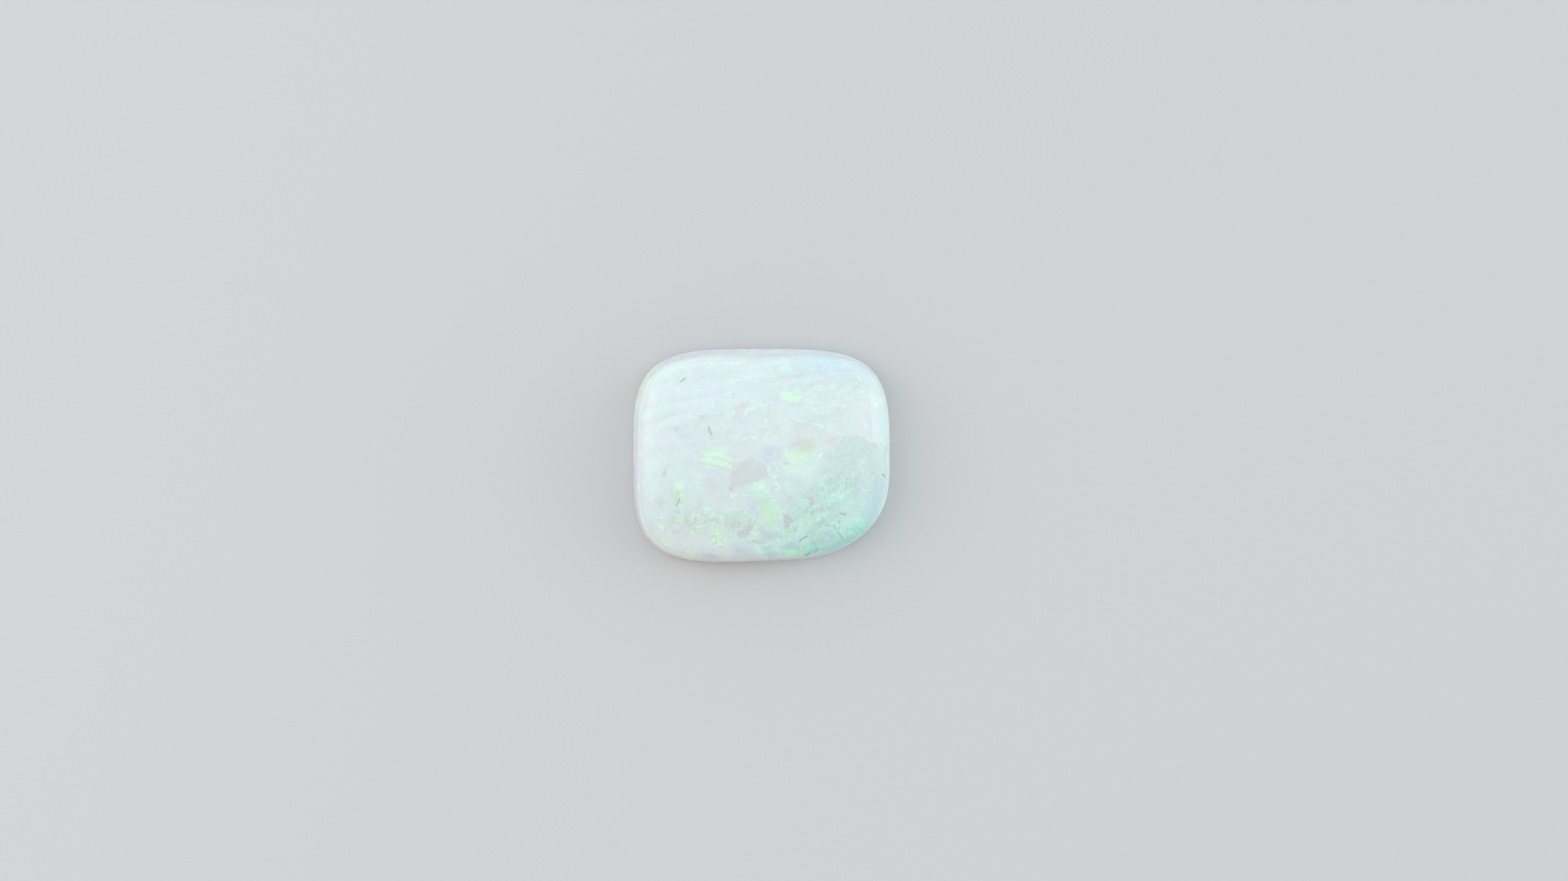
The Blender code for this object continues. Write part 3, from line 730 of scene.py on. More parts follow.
def stone_surface():
    """Each vertex's place, inset from the girdle, angle and ring.

    From the crown outwards the rings scale the shoulder's inner edge up from nothing over the
    dome, then follow the shoulder's arc, the leaning wall and a quarter-ellipse bevel.
    """
    ring, angle = square_rings()
    edge = girdle(angle)
    normal = girdle_normal(angle)
    lean = WALL_LEAN + fade(angle, SLANTED_WALL)
    top_inset, top_height, top_tilt = wall_top(edge, normal, lean)
    wall_tilt = math.pi / 2 - lean

    share = np.clip((ring - DOME_RINGS) / SHOULDER_RINGS, 0.0, 1.0)
    arc_inset, arc_rise = shoulder_arc(lean, top_tilt + (wall_tilt - top_tilt) * share)
    inset = top_inset + arc_inset
    height = top_height + arc_rise

    share = np.clip((ring - DOME_RINGS - SHOULDER_RINGS) / WALL_RINGS, 0.0, 1.0)
    inset = np.where(share > 0, top_inset * (1.0 - share), inset)
    height = np.where(share > 0, top_height + (GIRDLE_HEIGHT - top_height) * share, height)

    share = np.clip((ring - RINGS + BEVEL_RINGS) / BEVEL_RINGS, 0.0, 1.0)
    turn = math.pi / 2 * share
    inset = np.where(share > 0, BACK_BEVEL * (1.0 - np.cos(turn)), inset)
    height = np.where(share > 0, GIRDLE_HEIGHT * (1.0 - np.sin(turn)), height)

    place = edge - normal * inset[..., None]
    on_dome = ring <= DOME_RINGS
    place = np.where(on_dome[..., None], place * (ring / DOME_RINGS)[..., None], place)
    height = np.where(on_dome, dome_height(place), height)
    points = np.concatenate((place, height[..., None]), axis=-1).reshape(-1, 3)
    return points, inset.reshape(-1), angle.reshape(-1), ring.reshape(-1)


def grid_faces():
    """The grid's squares, and its border as one flat face for the back."""
    side = 2 * RINGS + 1
    number = np.arange(side * side).reshape(side, side)
    squares = np.stack((number[:-1, :-1], number[1:, :-1], number[1:, 1:], number[:-1, 1:]), axis=-1)
    border = np.concatenate((number[:-1, 0], number[-1, :-1], number[:0:-1, -1], number[0, :0:-1]))
    return squares.reshape(-1, 4).tolist() + [border[::-1].tolist()]


def keep(mesh, name, values):
    """Stores one number or one triple for each vertex."""
    triple = values.ndim == 2
    layer = mesh.attributes.new(name, "FLOAT_VECTOR" if triple else "FLOAT", "POINT")
    layer.data.foreach_set("vector" if triple else "value", values.astype(np.float32).ravel())


def local(x, y, middle_x, middle_y, turn):
    """Distances along and across a line through the middle that is turned by these degrees."""
    angle = math.radians(turn)
    along = (x - middle_x) * math.cos(angle) + (y - middle_y) * math.sin(angle)
    across = (y - middle_y) * math.cos(angle) - (x - middle_x) * math.sin(angle)
    return along, across


def ellipse_depth(x, y, middle_x, middle_y, half_length, half_width, turn):
    """How deep a point lies inside an ellipse, in mm: (1 - its share of the radius) * half width."""
    along, across = local(x, y, middle_x, middle_y, turn)
    share = np.sqrt((along / half_length) ** 2 + (across / half_width) ** 2)
    return (1.0 - share) * min(half_length, half_width)


def corner_depth(x, y, corners):
    """How deep a point lies inside a convex outline, in mm: its distance from the nearest side."""
    depth = np.full(x.shape, np.inf)
    for (from_x, from_y), (to_x, to_y) in zip(corners, corners[1:] + corners[:1]):
        run, rise = to_x - from_x, to_y - from_y
        side = (run * (y - from_y) - rise * (x - from_x)) / math.hypot(run, rise)
        depth = np.minimum(depth, side)
    return depth


def stroke_depth(x, y, half_width, path):
    """How deep a point lies inside a stroke, in mm: its half width less the distance to its path.

    The half width tapers over the first and last sixth of the path, less so where it is wide.
    """
    legs = [math.dist(start, end) for start, end in zip(path, path[1:])]
    depth = np.full(x.shape, -np.inf)
    gone = 0.0
    for (from_x, from_y), (to_x, to_y), leg in zip(path, path[1:], legs):
        run, rise = to_x - from_x, to_y - from_y
        share = np.clip(((x - from_x) * run + (y - from_y) * rise) / leg**2, 0.0, 1.0)
        far = np.hypot(x - from_x - share * run, y - from_y - share * rise)
        passed = (gone + share * leg) / sum(legs)
        taper = np.clip(6.0 * np.minimum(passed, 1.0 - passed), min(1.0, 6.0 * half_width), 1.0)
        depth = np.maximum(depth, half_width * taper - far)
        gone += leg
    return depth


def smooth_step(low, high, value):
    """0 below low, 1 above high, and 3t^2 - 2t^3 between them."""
    share = np.clip((value - low) / (high - low), 0.0, 1.0)
    return share * share * (3.0 - 2.0 * share)


def wobble(x, y, length, seed):
    """A smooth wander between about -1 and 1: the mean of sines that run in seeded directions."""
    draw = np.random.default_rng(seed)
    total = np.zeros(x.shape)
    waves = 9
    for turn, phase, stretch in zip(
        draw.uniform(0, math.tau, waves), draw.uniform(0, math.tau, waves), draw.uniform(0.6, 1.7, waves)
    ):
        total += np.sin(math.tau * stretch / length * (x * math.cos(turn) + y * math.sin(turn)) + phase)
    return total / math.sqrt(waves)


def cloud_share(x, y):
    """The cloudy zone on the right: firm along its arched top, fading out below.

    The arch runs straight from one of its points to the next, with a small wander added.
    """
    arch = np.interp(x, *zip(*CLOUD_ARCH)) + 0.02 * wobble(x, y, 0.3, 5)
    return smooth_step(0.0, 0.06, arch - y) * smooth_step(-4.8, -1.0, y) * smooth_step(3.1, 4.0, x - 0.5 * y)


def tinted(tint, share, colour):
    """The tint times the colour's cast, as much as its share says."""
    return tint * (1.0 + share[:, None] * (colour - 1.0))


def body_tint_and_painted_highlight(x, y):
    """The body colour, with the painted highlight on the right shoulder: the pale colour times the casts of
    the glows, the facets and the cloud.

    A glow's share falls off by exp(-(distance / half size)^2). A facet's rises over a narrow edge.
    """
    tint = np.tile(linear(PALE), (len(x), 1))
    for colour, share, middle_x, middle_y, half_length, half_width, turn in GLOWS_AND_PAINTED_HIGHLIGHT:
        along, across = local(x, y, middle_x, middle_y, turn)
        far = (along / half_length) ** 2 + (across / half_width) ** 2
        tint = tinted(tint, share * np.exp(-far), colour)
    sway = FACET_SWAY * wobble(x, y, 0.5, 3)
    for colour, share, corners in FACETS:
        depth = corner_depth(x, y, corners) + sway
        tint = tinted(tint, share * smooth_step(0.0, FACET_EDGE, depth), colour)
    return tinted(tint, cloud_share(x, y), CLOUD)


def flash_softness(number):
    """How wide a flash's edge is, from 0.02 to 0.12 mm by its number, and mostly narrow."""
    return 0.02 + 0.10 * (0.618 * number % 1.0) ** 3


def flash_layer(x, y):
    """Each vertex's flash: its cast, its depth, comb and share, a place along its grain, and its edge.

    Each flash takes the vertices that lie deeper inside it than in any flash before it. A stroke
    takes all the vertices inside its own edge, and what it crosses ends there. The edge is how
    soft it is in mm, and how far it frays.
    """
    shapes = []
    for colour, share, comb, middle_x, middle_y, half_length, half_width, turn in FLASHES:
        depth = ellipse_depth(x, y, middle_x, middle_y, half_length, half_width, turn)
        shapes.append((colour, share, comb, turn, flash_softness(len(shapes)), depth))
    for colour, share, comb, turn, corners in CORNERED_FLASHES:
        shapes.append((colour, share, comb, turn, CORNERED_SOFTNESS, corner_depth(x, y, corners)))
    flashes = len(shapes)
    for colour, share, softness, half_width, path in STROKES:
        shapes.append((colour, share, 0.0, 0.0, softness, stroke_depth(x, y, half_width, path)))

    cast_of = np.ones((len(x), 3))
    look = np.full((len(x), 3), -1.0)
    grain = np.zeros((len(x), 3))
    edge = np.tile((0.05, 1.0, 0.0), (len(x), 1))
    for number, (colour, share, comb, turn, softness, depth) in enumerate(shapes):
        taken = depth > look[:, 0]
        if number >= flashes:
            taken |= depth > 0.0
            look[:, 0] = np.minimum(look[:, 0], -depth)
        along, across = local(x, y, 0.0, 0.0, turn)
        cast_of[taken] = colour
        look[taken] = np.stack((depth, np.full(len(x), comb), np.full(len(x), share)), axis=-1)[taken]
        grain[taken] = np.stack((along, across, np.full(len(x), STRIPE_STEP * number)), axis=-1)[taken]
        edge[taken] = (softness, 1.0 if number < len(FLASHES) else CORNERED_FRAY, 0.0)
    return cast_of, look, grain, edge


def zone_share(x, y, zones):
    """The largest of the zones' shares, each falling off by exp(-(distance / half size)^4)."""
    total = np.zeros(x.shape)
    for share, middle_x, middle_y, half_length, half_width, turn in zones:
        along, across = local(x, y, middle_x, middle_y, turn)
        far = (along / half_length) ** 2 + (across / half_width) ** 2
        total = np.maximum(total, share * np.exp(-(far**2)))
    return total


def rim_tint_and_painted_light(tint, height, inset, angle):
    """The tint with the rim's casts: lilac grey on the left, brown below, teal and green on the right. These
    are partly the stone's colour and partly painted shade and painted light: the shoulder's highlight band
    is painted darker or paler by bearing, the brown below is partly painted shade, and the wall is painted
    paler at the lower right, the right and the top.

    A cast's share falls off by exp(-(bearing from its middle / half width)^2). The wall and its foot
    are told by their height, the shoulder and its highlight band by their inset from the girdle.
    """
    bearing = np.degrees(angle) % 360.0
    parts = {
        "wall": smooth_step(1.75, 1.45, height / MM),
        "foot": smooth_step(1.25, 0.75, height / MM),
        "shoulder": smooth_step(1.3, 0.3, inset / MM),
        "painted_highlight_band": np.exp(-(((inset / MM - 0.55) / 0.4) ** 2)),
    }
    for part, middle, half_width, colour in RIM_CASTS_AND_PAINTED_LIGHT:
        gap = (bearing - middle + 180.0) % 360.0 - 180.0
        tint = tinted(tint, parts[part] * np.exp(-((gap / half_width) ** 2)), colour)
    return tint


def polish_waves(points):
    """Lifts the dome by two wanders, a few thousandths of a mm high, which fade out on the shoulder."""
    x, y, height = (points / MM).T
    lift = WAVE_HEIGHT * wobble(x, y, BROAD_WAVE, 11) + 0.25 * WAVE_HEIGHT * wobble(x, y, FINE_WAVE, 12)
    points[:, 2] += lift * smooth_step(*WAVE_FADE, height)


def girdle_chips(points):
    """Small nicks round the girdle, most of them at the lower left.

    Each pushes the surface in by its depth times exp(-(distance / width)^2 - (rise / height)^2).
    """
    draw = np.random.default_rng(31)
    bearings = np.radians(draw.normal(*CHIP_BEARINGS, CHIPS))
    middles, normals = girdle(bearings), girdle_normal(bearings)
    widths = draw.uniform(*CHIP_WIDTHS, CHIPS) * MM
    heights = draw.uniform(*CHIP_HEIGHTS, CHIPS) * MM
    depths = draw.uniform(*CHIP_DEPTHS, CHIPS) * MM
    lifts = GIRDLE_HEIGHT + draw.uniform(*CHIP_LIFTS, CHIPS) * MM
    for middle, normal, width, height, depth, lift in zip(middles, normals, widths, heights, depths, lifts):
        far = np.sum((points[:, :2] - middle) ** 2, axis=-1) / width**2
        far += (points[:, 2] - lift) ** 2 / height**2
        points[:, :2] -= normal * (depth * np.exp(-far))[:, None]


def opal_stone():
    """The stone, with all that its material reads from the vertices. Returns its points.

    The placed marks give way to a plainer body towards the wall, where the rim's casts, partly its colour
    and partly painted shade and painted light, take over.
    """
    points, inset, angle, ring = stone_surface()
    polish_waves(points)
    girdle_chips(points)
    mesh = bpy.data.meshes.new("opal_stone")
    mesh.from_pydata(points.tolist(), [], grid_faces())
    mesh.shade_smooth()

    x, y, height = (points / MM).T
    back = ring == RINGS
    face = smooth_step(*FACE_FADE, height)
    plain = 0.7 * (1.0 - face)[:, None]
    # The body colour holds painted light: a painted highlight on the right shoulder, and painted shade and
    # light round the rim.
    body = rim_tint_and_painted_light(body_tint_and_painted_highlight(x, y) * (1.0 - plain) + linear(PALE) * plain, points[:, 2], inset, angle)
    body[back] = linear(PALE)
    flash_cast, flash_look, flash_grain, flash_edge = flash_layer(x, y)
    flash_look[:, 0] = np.where(back, -1.0, flash_look[:, 0] - 0.3 * (1.0 - face))
    for name, values in (
        ("body", body),
        ("flash_cast", flash_cast),
        ("flash_look", flash_look),
        ("flash_grain", flash_grain),
        ("flash_edge", flash_edge),
        ("feather", zone_share(x, y, FEATHER_ZONES) * face),
        ("speckle", zone_share(x, y, SPECKLE_ZONES) * face),
        ("beads", zone_share(x, y, BEAD_ZONES) * face),
        ("cloud", cloud_share(x, y) * face),
        ("banding", smooth_step(-0.6, 2.2, y - 0.15 * x) * face),
        ("wall", np.where(back, 0.0, smooth_step(*WALL_FADE, height))),
        ("back", np.where(back, 1.0, 0.0)),
    ):
        keep(mesh, name, values)

    stone = bpy.data.objects.new("opal_stone", mesh)
    bpy.context.scene.collection.objects.link(stone)
    mesh.materials.append(opal_material())
    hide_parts("opal")
    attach(stone, "root")
    return points


def fibre(path, radius):
    """A thin round thread: a circle carried along a smooth curve through three points, with closed ends.

    The curve is (1-t)^2 start + 2t(1-t) pull + t^2 end, where the pull makes it pass through the
    middle point. The ends shrink to a point.
    """
    start, middle, end = (np.array(point, float) for point in path)
    pull = 2.0 * middle - 0.5 * (start + end)
    run = np.linspace(0.0, 1.0, FIBRE_RINGS)[:, None]
    line = (1 - run) ** 2 * start + 2 * run * (1 - run) * pull + run**2 * end
    ahead = np.gradient(line, axis=0)
    ahead /= np.linalg.norm(ahead, axis=1, keepdims=True)
    beside = np.cross(ahead, (0.0, 0.0, 1.0))
    beside /= np.linalg.norm(beside, axis=1, keepdims=True)
    above = np.cross(beside, ahead)
    turn = np.linspace(0.0, math.tau, FIBRE_SIDES, endpoint=False)
    width = radius * np.sqrt(np.clip(8.0 * np.minimum(run, 1.0 - run), 0.05, 1.0))[..., None]
    circle = np.cos(turn)[None, :, None] * beside[:, None] + np.sin(turn)[None, :, None] * above[:, None]
    skin = (line[:, None] + width * circle).reshape(-1, 3)
    number = np.arange(FIBRE_RINGS * FIBRE_SIDES).reshape(FIBRE_RINGS, FIBRE_SIDES)
    after = np.roll(number, -1, axis=1)
    sides = np.stack((number[:-1], after[:-1], after[1:], number[1:]), axis=-1).reshape(-1, 4)
    return skin, sides.tolist() + [number[0, ::-1].tolist(), number[-1].tolist()]


def speck(middle, radius):
    """A flattened grain: a sphere, 0.6 as high as wide, from its two angles."""
    falls = np.linspace(0.0, math.pi, SPECK_RINGS)
    turns = np.linspace(0.0, math.tau, SPECK_SIDES, endpoint=False)
    fall, turn = np.meshgrid(falls, turns, indexing="ij")
    way = np.stack((np.sin(fall) * np.cos(turn), np.sin(fall) * np.sin(turn), 0.6 * np.cos(fall)), axis=-1)
    skin = way[1:-1].reshape(-1, 3)
    number = np.arange(len(skin)).reshape(SPECK_RINGS - 2, SPECK_SIDES)
    after = np.roll(number, -1, axis=1)
    sides = np.stack((number[:-1], number[1:], after[1:], after[:-1]), axis=-1).reshape(-1, 4)
    ends = [number[0].tolist(), number[-1, ::-1].tolist()]
    return np.array(middle) + radius * skin, sides.tolist() + ends


def resting(stone_points, x, y, lift):
    """The place in metres of x and y in mm, this much above the stone's nearest vertex.

    A vertex's height counts a little too, so that one of the face wins over one near the back.
    """
    far = np.hypot(stone_points[:, 0] - x * MM, stone_points[:, 1] - y * MM) - 0.2 * stone_points[:, 2]
    return (x * MM, y * MM, stone_points[np.argmin(far), 2] + lift * MM)


def lint_piece(name, parts, colour):
    """One piece made of several threads and specks."""
    points, faces = [], []
    for skin, sides in parts:
        first = sum(len(earlier) for earlier in points)
        points.append(skin)
        faces += [[first + corner for corner in side] for side in sides]
    mesh = bpy.data.meshes.new(name)
    mesh.from_pydata(np.concatenate(points).tolist(), [], faces)
    mesh.shade_smooth()
    mesh.materials.append(lint_material(name + "_fluff", colour))
    piece = bpy.data.objects.new(name, mesh)
    bpy.context.scene.collection.objects.link(piece)
    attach(piece, "root")


def lint(stone_points):
    """The dark fibres and specks that lie on the polish, and the pale ones that stick to the edge."""
    dark = []
    for places in DARK_FIBRES:
        path = [resting(stone_points, x, y, lift) for (x, y), lift in zip(places, FIBRE_LIFTS)]
        dark.append(fibre(path, FIBRE_RADIUS))
    for x, y, radius in DARK_SPECKS:
        dark.append(speck(resting(stone_points, x, y, 0.0), radius * MM))
    lint_piece("dark_lint", dark, DARK_FLUFF)
    pale = [fibre(np.array(path) * MM, FIBRE_RADIUS) for path in PALE_FIBRES]
    pale += [speck(np.array(place) * MM, radius * MM) for *place, radius in PALE_SPECKS]
    lint_piece("pale_lint", pale, PALE_FLUFF)


def add(tree, kind, inputs, **settings):
    """One node, with its settings, and its inputs given as values or as other nodes' outlets."""
    node = tree.nodes.new(kind)
    for name, value in settings.items():
        setattr(node, name, value)
    for socket, value in inputs.items():
        if isinstance(value, bpy.types.NodeSocket):
            tree.links.new(value, node.inputs[socket])
        else:
            node.inputs[socket].default_value = value
    return node


def new_material(name):
    """(material, its node tree, its surface shader)"""
    material = bpy.data.materials.new(name)
    material.use_nodes = True
    tree = material.node_tree
    return material, tree, tree.nodes["Principled BSDF"]


def attribute(tree, name, outlet="Color"):
    """What the stone's vertices hold under this name."""
    return add(tree, "ShaderNodeAttribute", {}, attribute_name=name).outputs[outlet]


def three_numbers(tree, name):
    """The three numbers that the stone's vertices hold under this name."""
    return add(tree, "ShaderNodeSeparateXYZ", {"Vector": attribute(tree, name, "Vector")}).outputs


def maths(tree, operation, first, second=0.0, third=0.0):
    """The operation's result for two or three numbers. MULTIPLY_ADD is first * second + third."""
    node = add(tree, "ShaderNodeMath", {0: first, 1: second, 2: third}, operation=operation)
    return node.outputs["Value"]


def times(tree, first, second):
    """first * second"""
    return maths(tree, "MULTIPLY", first, second)


def less(tree, first, second):
    """first - second"""
    return maths(tree, "SUBTRACT", first, second)


def ramp(tree, value, low, high):
    """A smooth step of the value from 0 at low to 1 at high."""
    inputs = {"Value": value, "From Min": low, "From Max": high}
    return add(tree, "ShaderNodeMapRange", inputs, interpolation_type="SMOOTHSTEP").outputs["Result"]


def noise(tree, place, scale, detail, outlet="Fac"):
    """Soft noise from 0 to 1, with this many finer levels in it."""
    inputs = {"Vector": place, "Scale": scale, "Detail": detail}
    return add(tree, "ShaderNodeTexNoise", inputs).outputs[outlet]


def cells(tree, place, scale=1.0):
    """Voronoi cells: each one's random colour, and the distance from its middle."""
    return add(tree, "ShaderNodeTexVoronoi", {"Vector": place, "Scale": scale}).outputs


def channels(tree, colour):
    """The colour's three parts as numbers."""
    return add(tree, "ShaderNodeSeparateColor", {"Color": colour}).outputs


def stretched(tree, place, scale):
    """The place, with each axis times its own number."""
    return add(tree, "ShaderNodeMapping", {"Vector": place, "Scale": scale}).outputs["Vector"]


def grain_place(tree, place, turn, length, width, shift=0.0):
    """The place in units of a grain of this length and width, which runs at this turn."""
    inputs = {
        "Vector": place,
        "Rotation": (0.0, 0.0, math.radians(turn)),
        "Scale": (length, width, width),
        "Location": (shift, shift, shift),
    }
    return add(tree, "ShaderNodeMapping", inputs, vector_type="TEXTURE").outputs["Vector"]


def tinted_by(tree, colour, share, tint):
    """The colour times 1 + share * (tint - 1)."""
    node = add(tree, "ShaderNodeMix", {0: share, 6: colour}, data_type="RGBA", blend_type="MULTIPLY")
    if isinstance(tint, bpy.types.NodeSocket):
        tree.links.new(tint, node.inputs[7])
    else:
        node.inputs[7].default_value = (*tint, 1.0)
    return node.outputs[2]


def touches(tree, colour, zone, rows):
    """The colour times each row's tint, by the smooth step of its value times its share of the zone."""
    for value, low, high, share, tint in rows:
        weight = times(tree, ramp(tree, value, low, high), times(tree, zone, share))
        colour = tinted_by(tree, colour, weight, tint)
    return colour


def warped(tree, place, scale, reach):
    """The place, moved by up to about half the reach, in metres, by a noise of this scale."""
    push = {0: noise(tree, place, scale, 2.0, "Color"), 1: (0.5, 0.5, 0.5)}
    centred = add(tree, "ShaderNodeVectorMath", push, operation="SUBTRACT").outputs[0]
    inputs = {0: centred, 1: (reach, reach, reach), 2: place}
    return add(tree, "ShaderNodeVectorMath", inputs, operation="MULTIPLY_ADD").outputs[0]


def domains(tree, place, turn, length, width):
    """Cells of crystal, this long and wide: three random numbers from 0 to 1 that each cell has."""
    cell_place = grain_place(tree, warped(tree, place, 1.5 / width, 0.45 * width), turn, length, width)
    return channels(tree, cells(tree, cell_place)["Color"])


def domain_stripes(tree, place, pick, turn, swing, length, width):
    """Fine stripes that run at the turn, give or take half the swing, by each cell's own number."""
    angle = maths(tree, "MULTIPLY_ADD", pick, -math.radians(swing), -math.radians(turn - swing / 2))
    inputs = {"Vector": place, "Angle": angle}
    turned = add(tree, "ShaderNodeVectorRotate", inputs, rotation_type="Z_AXIS").outputs["Vector"]
    return noise(tree, grain_place(tree, turned, 0.0, length, width), 1.0, 2.0)


def opal_bands(tree, place, colour):
    """Milky streaks and thin lilac and mint lines that rise to the right across the upper half."""
    place = warped(tree, place, 380.0, 0.8 * MM)
    streaks = noise(tree, grain_place(tree, place, 13, 4.0 * MM, 0.55 * MM), 1.0, 3.0)
    lines = noise(tree, grain_place(tree, place, 16, 1.3 * MM, 0.10 * MM, 0.02), 1.0, 4.0)
    rows = (
        (streaks, 0.45, 0.75, 1.0, MILK),
        (streaks, 0.55, 0.25, 0.5, DUSK),
        (lines, 0.58, 0.74, 0.3, MINT),
        (lines, 0.42, 0.26, 0.3, LILAC),
    )
    return touches(tree, colour, attribute(tree, "banding", "Fac"), rows)


def opal_mottle(tree, place, colour):
    """Soft patches of mint, rose and lilac all over, from two thirds of a millimetre to a seventh."""
    for scale, detail, share in ((1500.0, 5.0, 0.4), (3200.0, 3.0, 0.25), (7000.0, 2.0, 0.3)):
        hues = channels(tree, noise(tree, place, scale, detail, "Color"))
        rows = [(hue, 0.5, 0.75, share, tint) for hue, tint in zip(hues, (MINT, ROSE, LILAC))]
        colour = touches(tree, colour, 1.0, rows)
    return colour


def opal_patchwork(tree, place, colour):
    """Crystal domains 0.75 by 0.5 mm over the lower part, finely striped, each with a faint cast."""
    zone = less(tree, 1.0, attribute(tree, "banding", "Fac"))
    pick = domains(tree, place, 40, 0.75 * MM, 0.5 * MM)
    stripes = domain_stripes(tree, place, pick[2], 35, 70, 0.5 * MM, 0.05 * MM)
    lined = maths(tree, "MULTIPLY_ADD", ramp(tree, stripes, 0.4, 0.62), 0.8, 0.35)
    rows = (
        (pick[0], 0.72, 0.78, 0.10, LIME),
        (pick[1], 0.72, 0.78, 0.12, ROSE),
        (pick[0], 0.24, 0.18, 0.08, BROWN),
        (pick[1], 0.26, 0.20, 0.10, MINT),
        (pick[2], 0.78, 0.84, 0.20, LILAC),
    )
    return touches(tree, colour, times(tree, zone, lined), rows)


def opal_feathers(tree, place, colour):
    """Short slender grains that lean to the right, in domains with a slant and casts of their own."""
    zone = attribute(tree, "feather", "Fac")
    place = warped(tree, place, 1100.0, 0.55 * MM)
    pick = domains(tree, place, 55, 0.46 * MM, 0.20 * MM)
    coarse = domain_stripes(tree, place, pick[0], 60, 50, 0.30 * MM, 0.08 * MM)
    fine = domain_stripes(tree, place, pick[1], 60, 60, 0.22 * MM, 0.05 * MM)
    grains = (
        (pick[1], 0.66, 0.72, 0.5, MINT),
        (pick[2], 0.80, 0.84, 0.5, LIME),
        (pick[0], 0.88, 0.92, 0.5, ROSE),
        (pick[2], 0.28, 0.20, 0.8, MOSS),
        (pick[1], 0.24, 0.16, 0.5, DUSK),
        (pick[0], 0.24, 0.16, 0.6, TEAL),
    )
    colour = touches(tree, colour, times(tree, zone, ramp(tree, coarse, 0.38, 0.58)), grains)
    return touches(tree, colour, zone, ((fine, 0.60, 0.70, 0.8, MINT), (fine, 0.42, 0.32, 0.8, MOSS)))


def opal_flecks(tree, place, colour, zone_name, size, tints):
    """Crisp ragged flecks of four kinds, up to this size, denser where the zone is stronger."""
    zone = attribute(tree, zone_name, "Fac")
    within = ramp(tree, zone, 0.05, 0.3)
    place = warped(tree, place, 4000.0, 0.14 * MM)
    for turn, length, width, shift, tint in (
        (50, 0.85 * size, 0.36 * size, 0.0, tints[0]),
        (35, size, 0.43 * size, 0.01, tints[1]),
        (60, 0.65 * size, 0.32 * size, 0.02, tints[2]),
        (20, 0.55 * size, 0.28 * size, 0.03, tints[3]),
    ):
        flecks = noise(tree, grain_place(tree, place, turn, length, width, shift), 1.0, 3.0)
        denser = maths(tree, "MULTIPLY_ADD", zone, 0.16, flecks)
        colour = touches(tree, colour, within, ((denser, 0.70, 0.74, 1.0, tint),))
    return colour


def opal_speckle(tree, place, colour):
    """Yellow-green, mint and pale flecks with grey gaps, mostly at the lower left."""
    tints = (GREY, cast(-9, 14, -13), cast(-5, 12, 2), cast(6, 10, -3))
    return opal_flecks(tree, place, colour, "speckle", 0.28 * MM, tints)


def opal_beads(tree, place, colour):
    """Small cyan-green beads with dark gaps, mostly at the lower right."""
    tints = (SLATE, cast(-8, 16, 4), cast(0, 18, 8), cast(6, 16, 14))
    return opal_flecks(tree, place, colour, "beads", 0.19 * MM, tints)


def opal_cloud(tree, place, colour):
    """The cloudy zone's small dark and green clots, with a few white pinpoints."""
    zone = attribute(tree, "cloud", "Fac")
    clots = noise(tree, place, 4200.0, 3.0)
    colour = touches(tree, colour, zone, ((clots, 0.48, 0.34, 0.5, DUSK), (clots, 0.56, 0.70, 0.5, MINT)))
    points = cells(tree, place, 3800.0)
    chosen = times(tree, zone, ramp(tree, channels(tree, points["Color"])[0], 0.84, 0.86))
    return touches(tree, colour, chosen, ((points["Distance"], 0.24, 0.12, 1.0, cast(14, 16, 18)),))


def opal_flashes(tree, place, colour):
    """The placed flashes: their edges frayed by noise, fine stripes along their grain, a dusky rim."""
    depth, comb, share = three_numbers(tree, "flash_look")
    soft, ragged, _ = three_numbers(tree, "flash_edge")
    grain = grain_place(tree, attribute(tree, "flash_grain", "Vector"), 0, 0.55, 0.045)
    stripes = ramp(tree, noise(tree, grain, 1.0, 1.0), 0.40, 0.56)

    fray = noise(tree, grain_place(tree, place, 35, 0.30 * MM, 0.12 * MM), 1.0, 4.0)
    drift = noise(tree, place, 2200.0, 2.0)
    edge = depth
    for wander, reach in ((fray, 0.24), (drift, 0.14)):
        edge = maths(tree, "MULTIPLY_ADD", less(tree, wander, 0.5), times(tree, ragged, reach), edge)
    edge = maths(tree, "MULTIPLY_ADD", times(tree, less(tree, stripes, 0.55), comb), 0.10, edge)
    inside = ramp(tree, edge, times(tree, soft, -0.5), times(tree, soft, 0.7))

    rim = times(tree, ramp(tree, edge, -0.10, -0.03), less(tree, 1.0, inside))
    colour = tinted_by(tree, colour, times(tree, rim, times(tree, share, 0.35)), DUSK)
    gaps = less(tree, 1.0, times(tree, comb, less(tree, 1.0, stripes)))
    blotches = maths(tree, "MULTIPLY_ADD", noise(tree, place, 4500.0, 4.0), 2.2, -0.15)
    for part in (gaps, share, blotches):
        inside = times(tree, inside, part)
    return tinted_by(tree, colour, inside, attribute(tree, "flash_cast"))


def opal_wall(tree, place, colour):
    """The side's own look: level layers of grey and tan, and tall crystal grains seen edge on."""
    place = warped(tree, place, 500.0, 0.5 * MM)
    layers = noise(tree, stretched(tree, place, (220.0, 220.0, 3200.0)), 1.0, 4.0)
    pick = channels(tree, cells(tree, stretched(tree, place, (2500.0, 2500.0, 1300.0)))["Color"])
    rows = (
        (layers, 0.52, 0.66, 0.8, DUSK),
        (layers, 0.44, 0.32, 0.7, PEACH),
        (pick[0], 0.70, 0.90, 0.4, MINT),
        (pick[1], 0.76, 0.92, 0.3, LIME),
        (pick[2], 0.70, 0.90, 0.4, ROSE),
        (pick[0], 0.26, 0.08, 0.35, IRIS),
    )
    return touches(tree, colour, attribute(tree, "wall", "Fac"), rows)


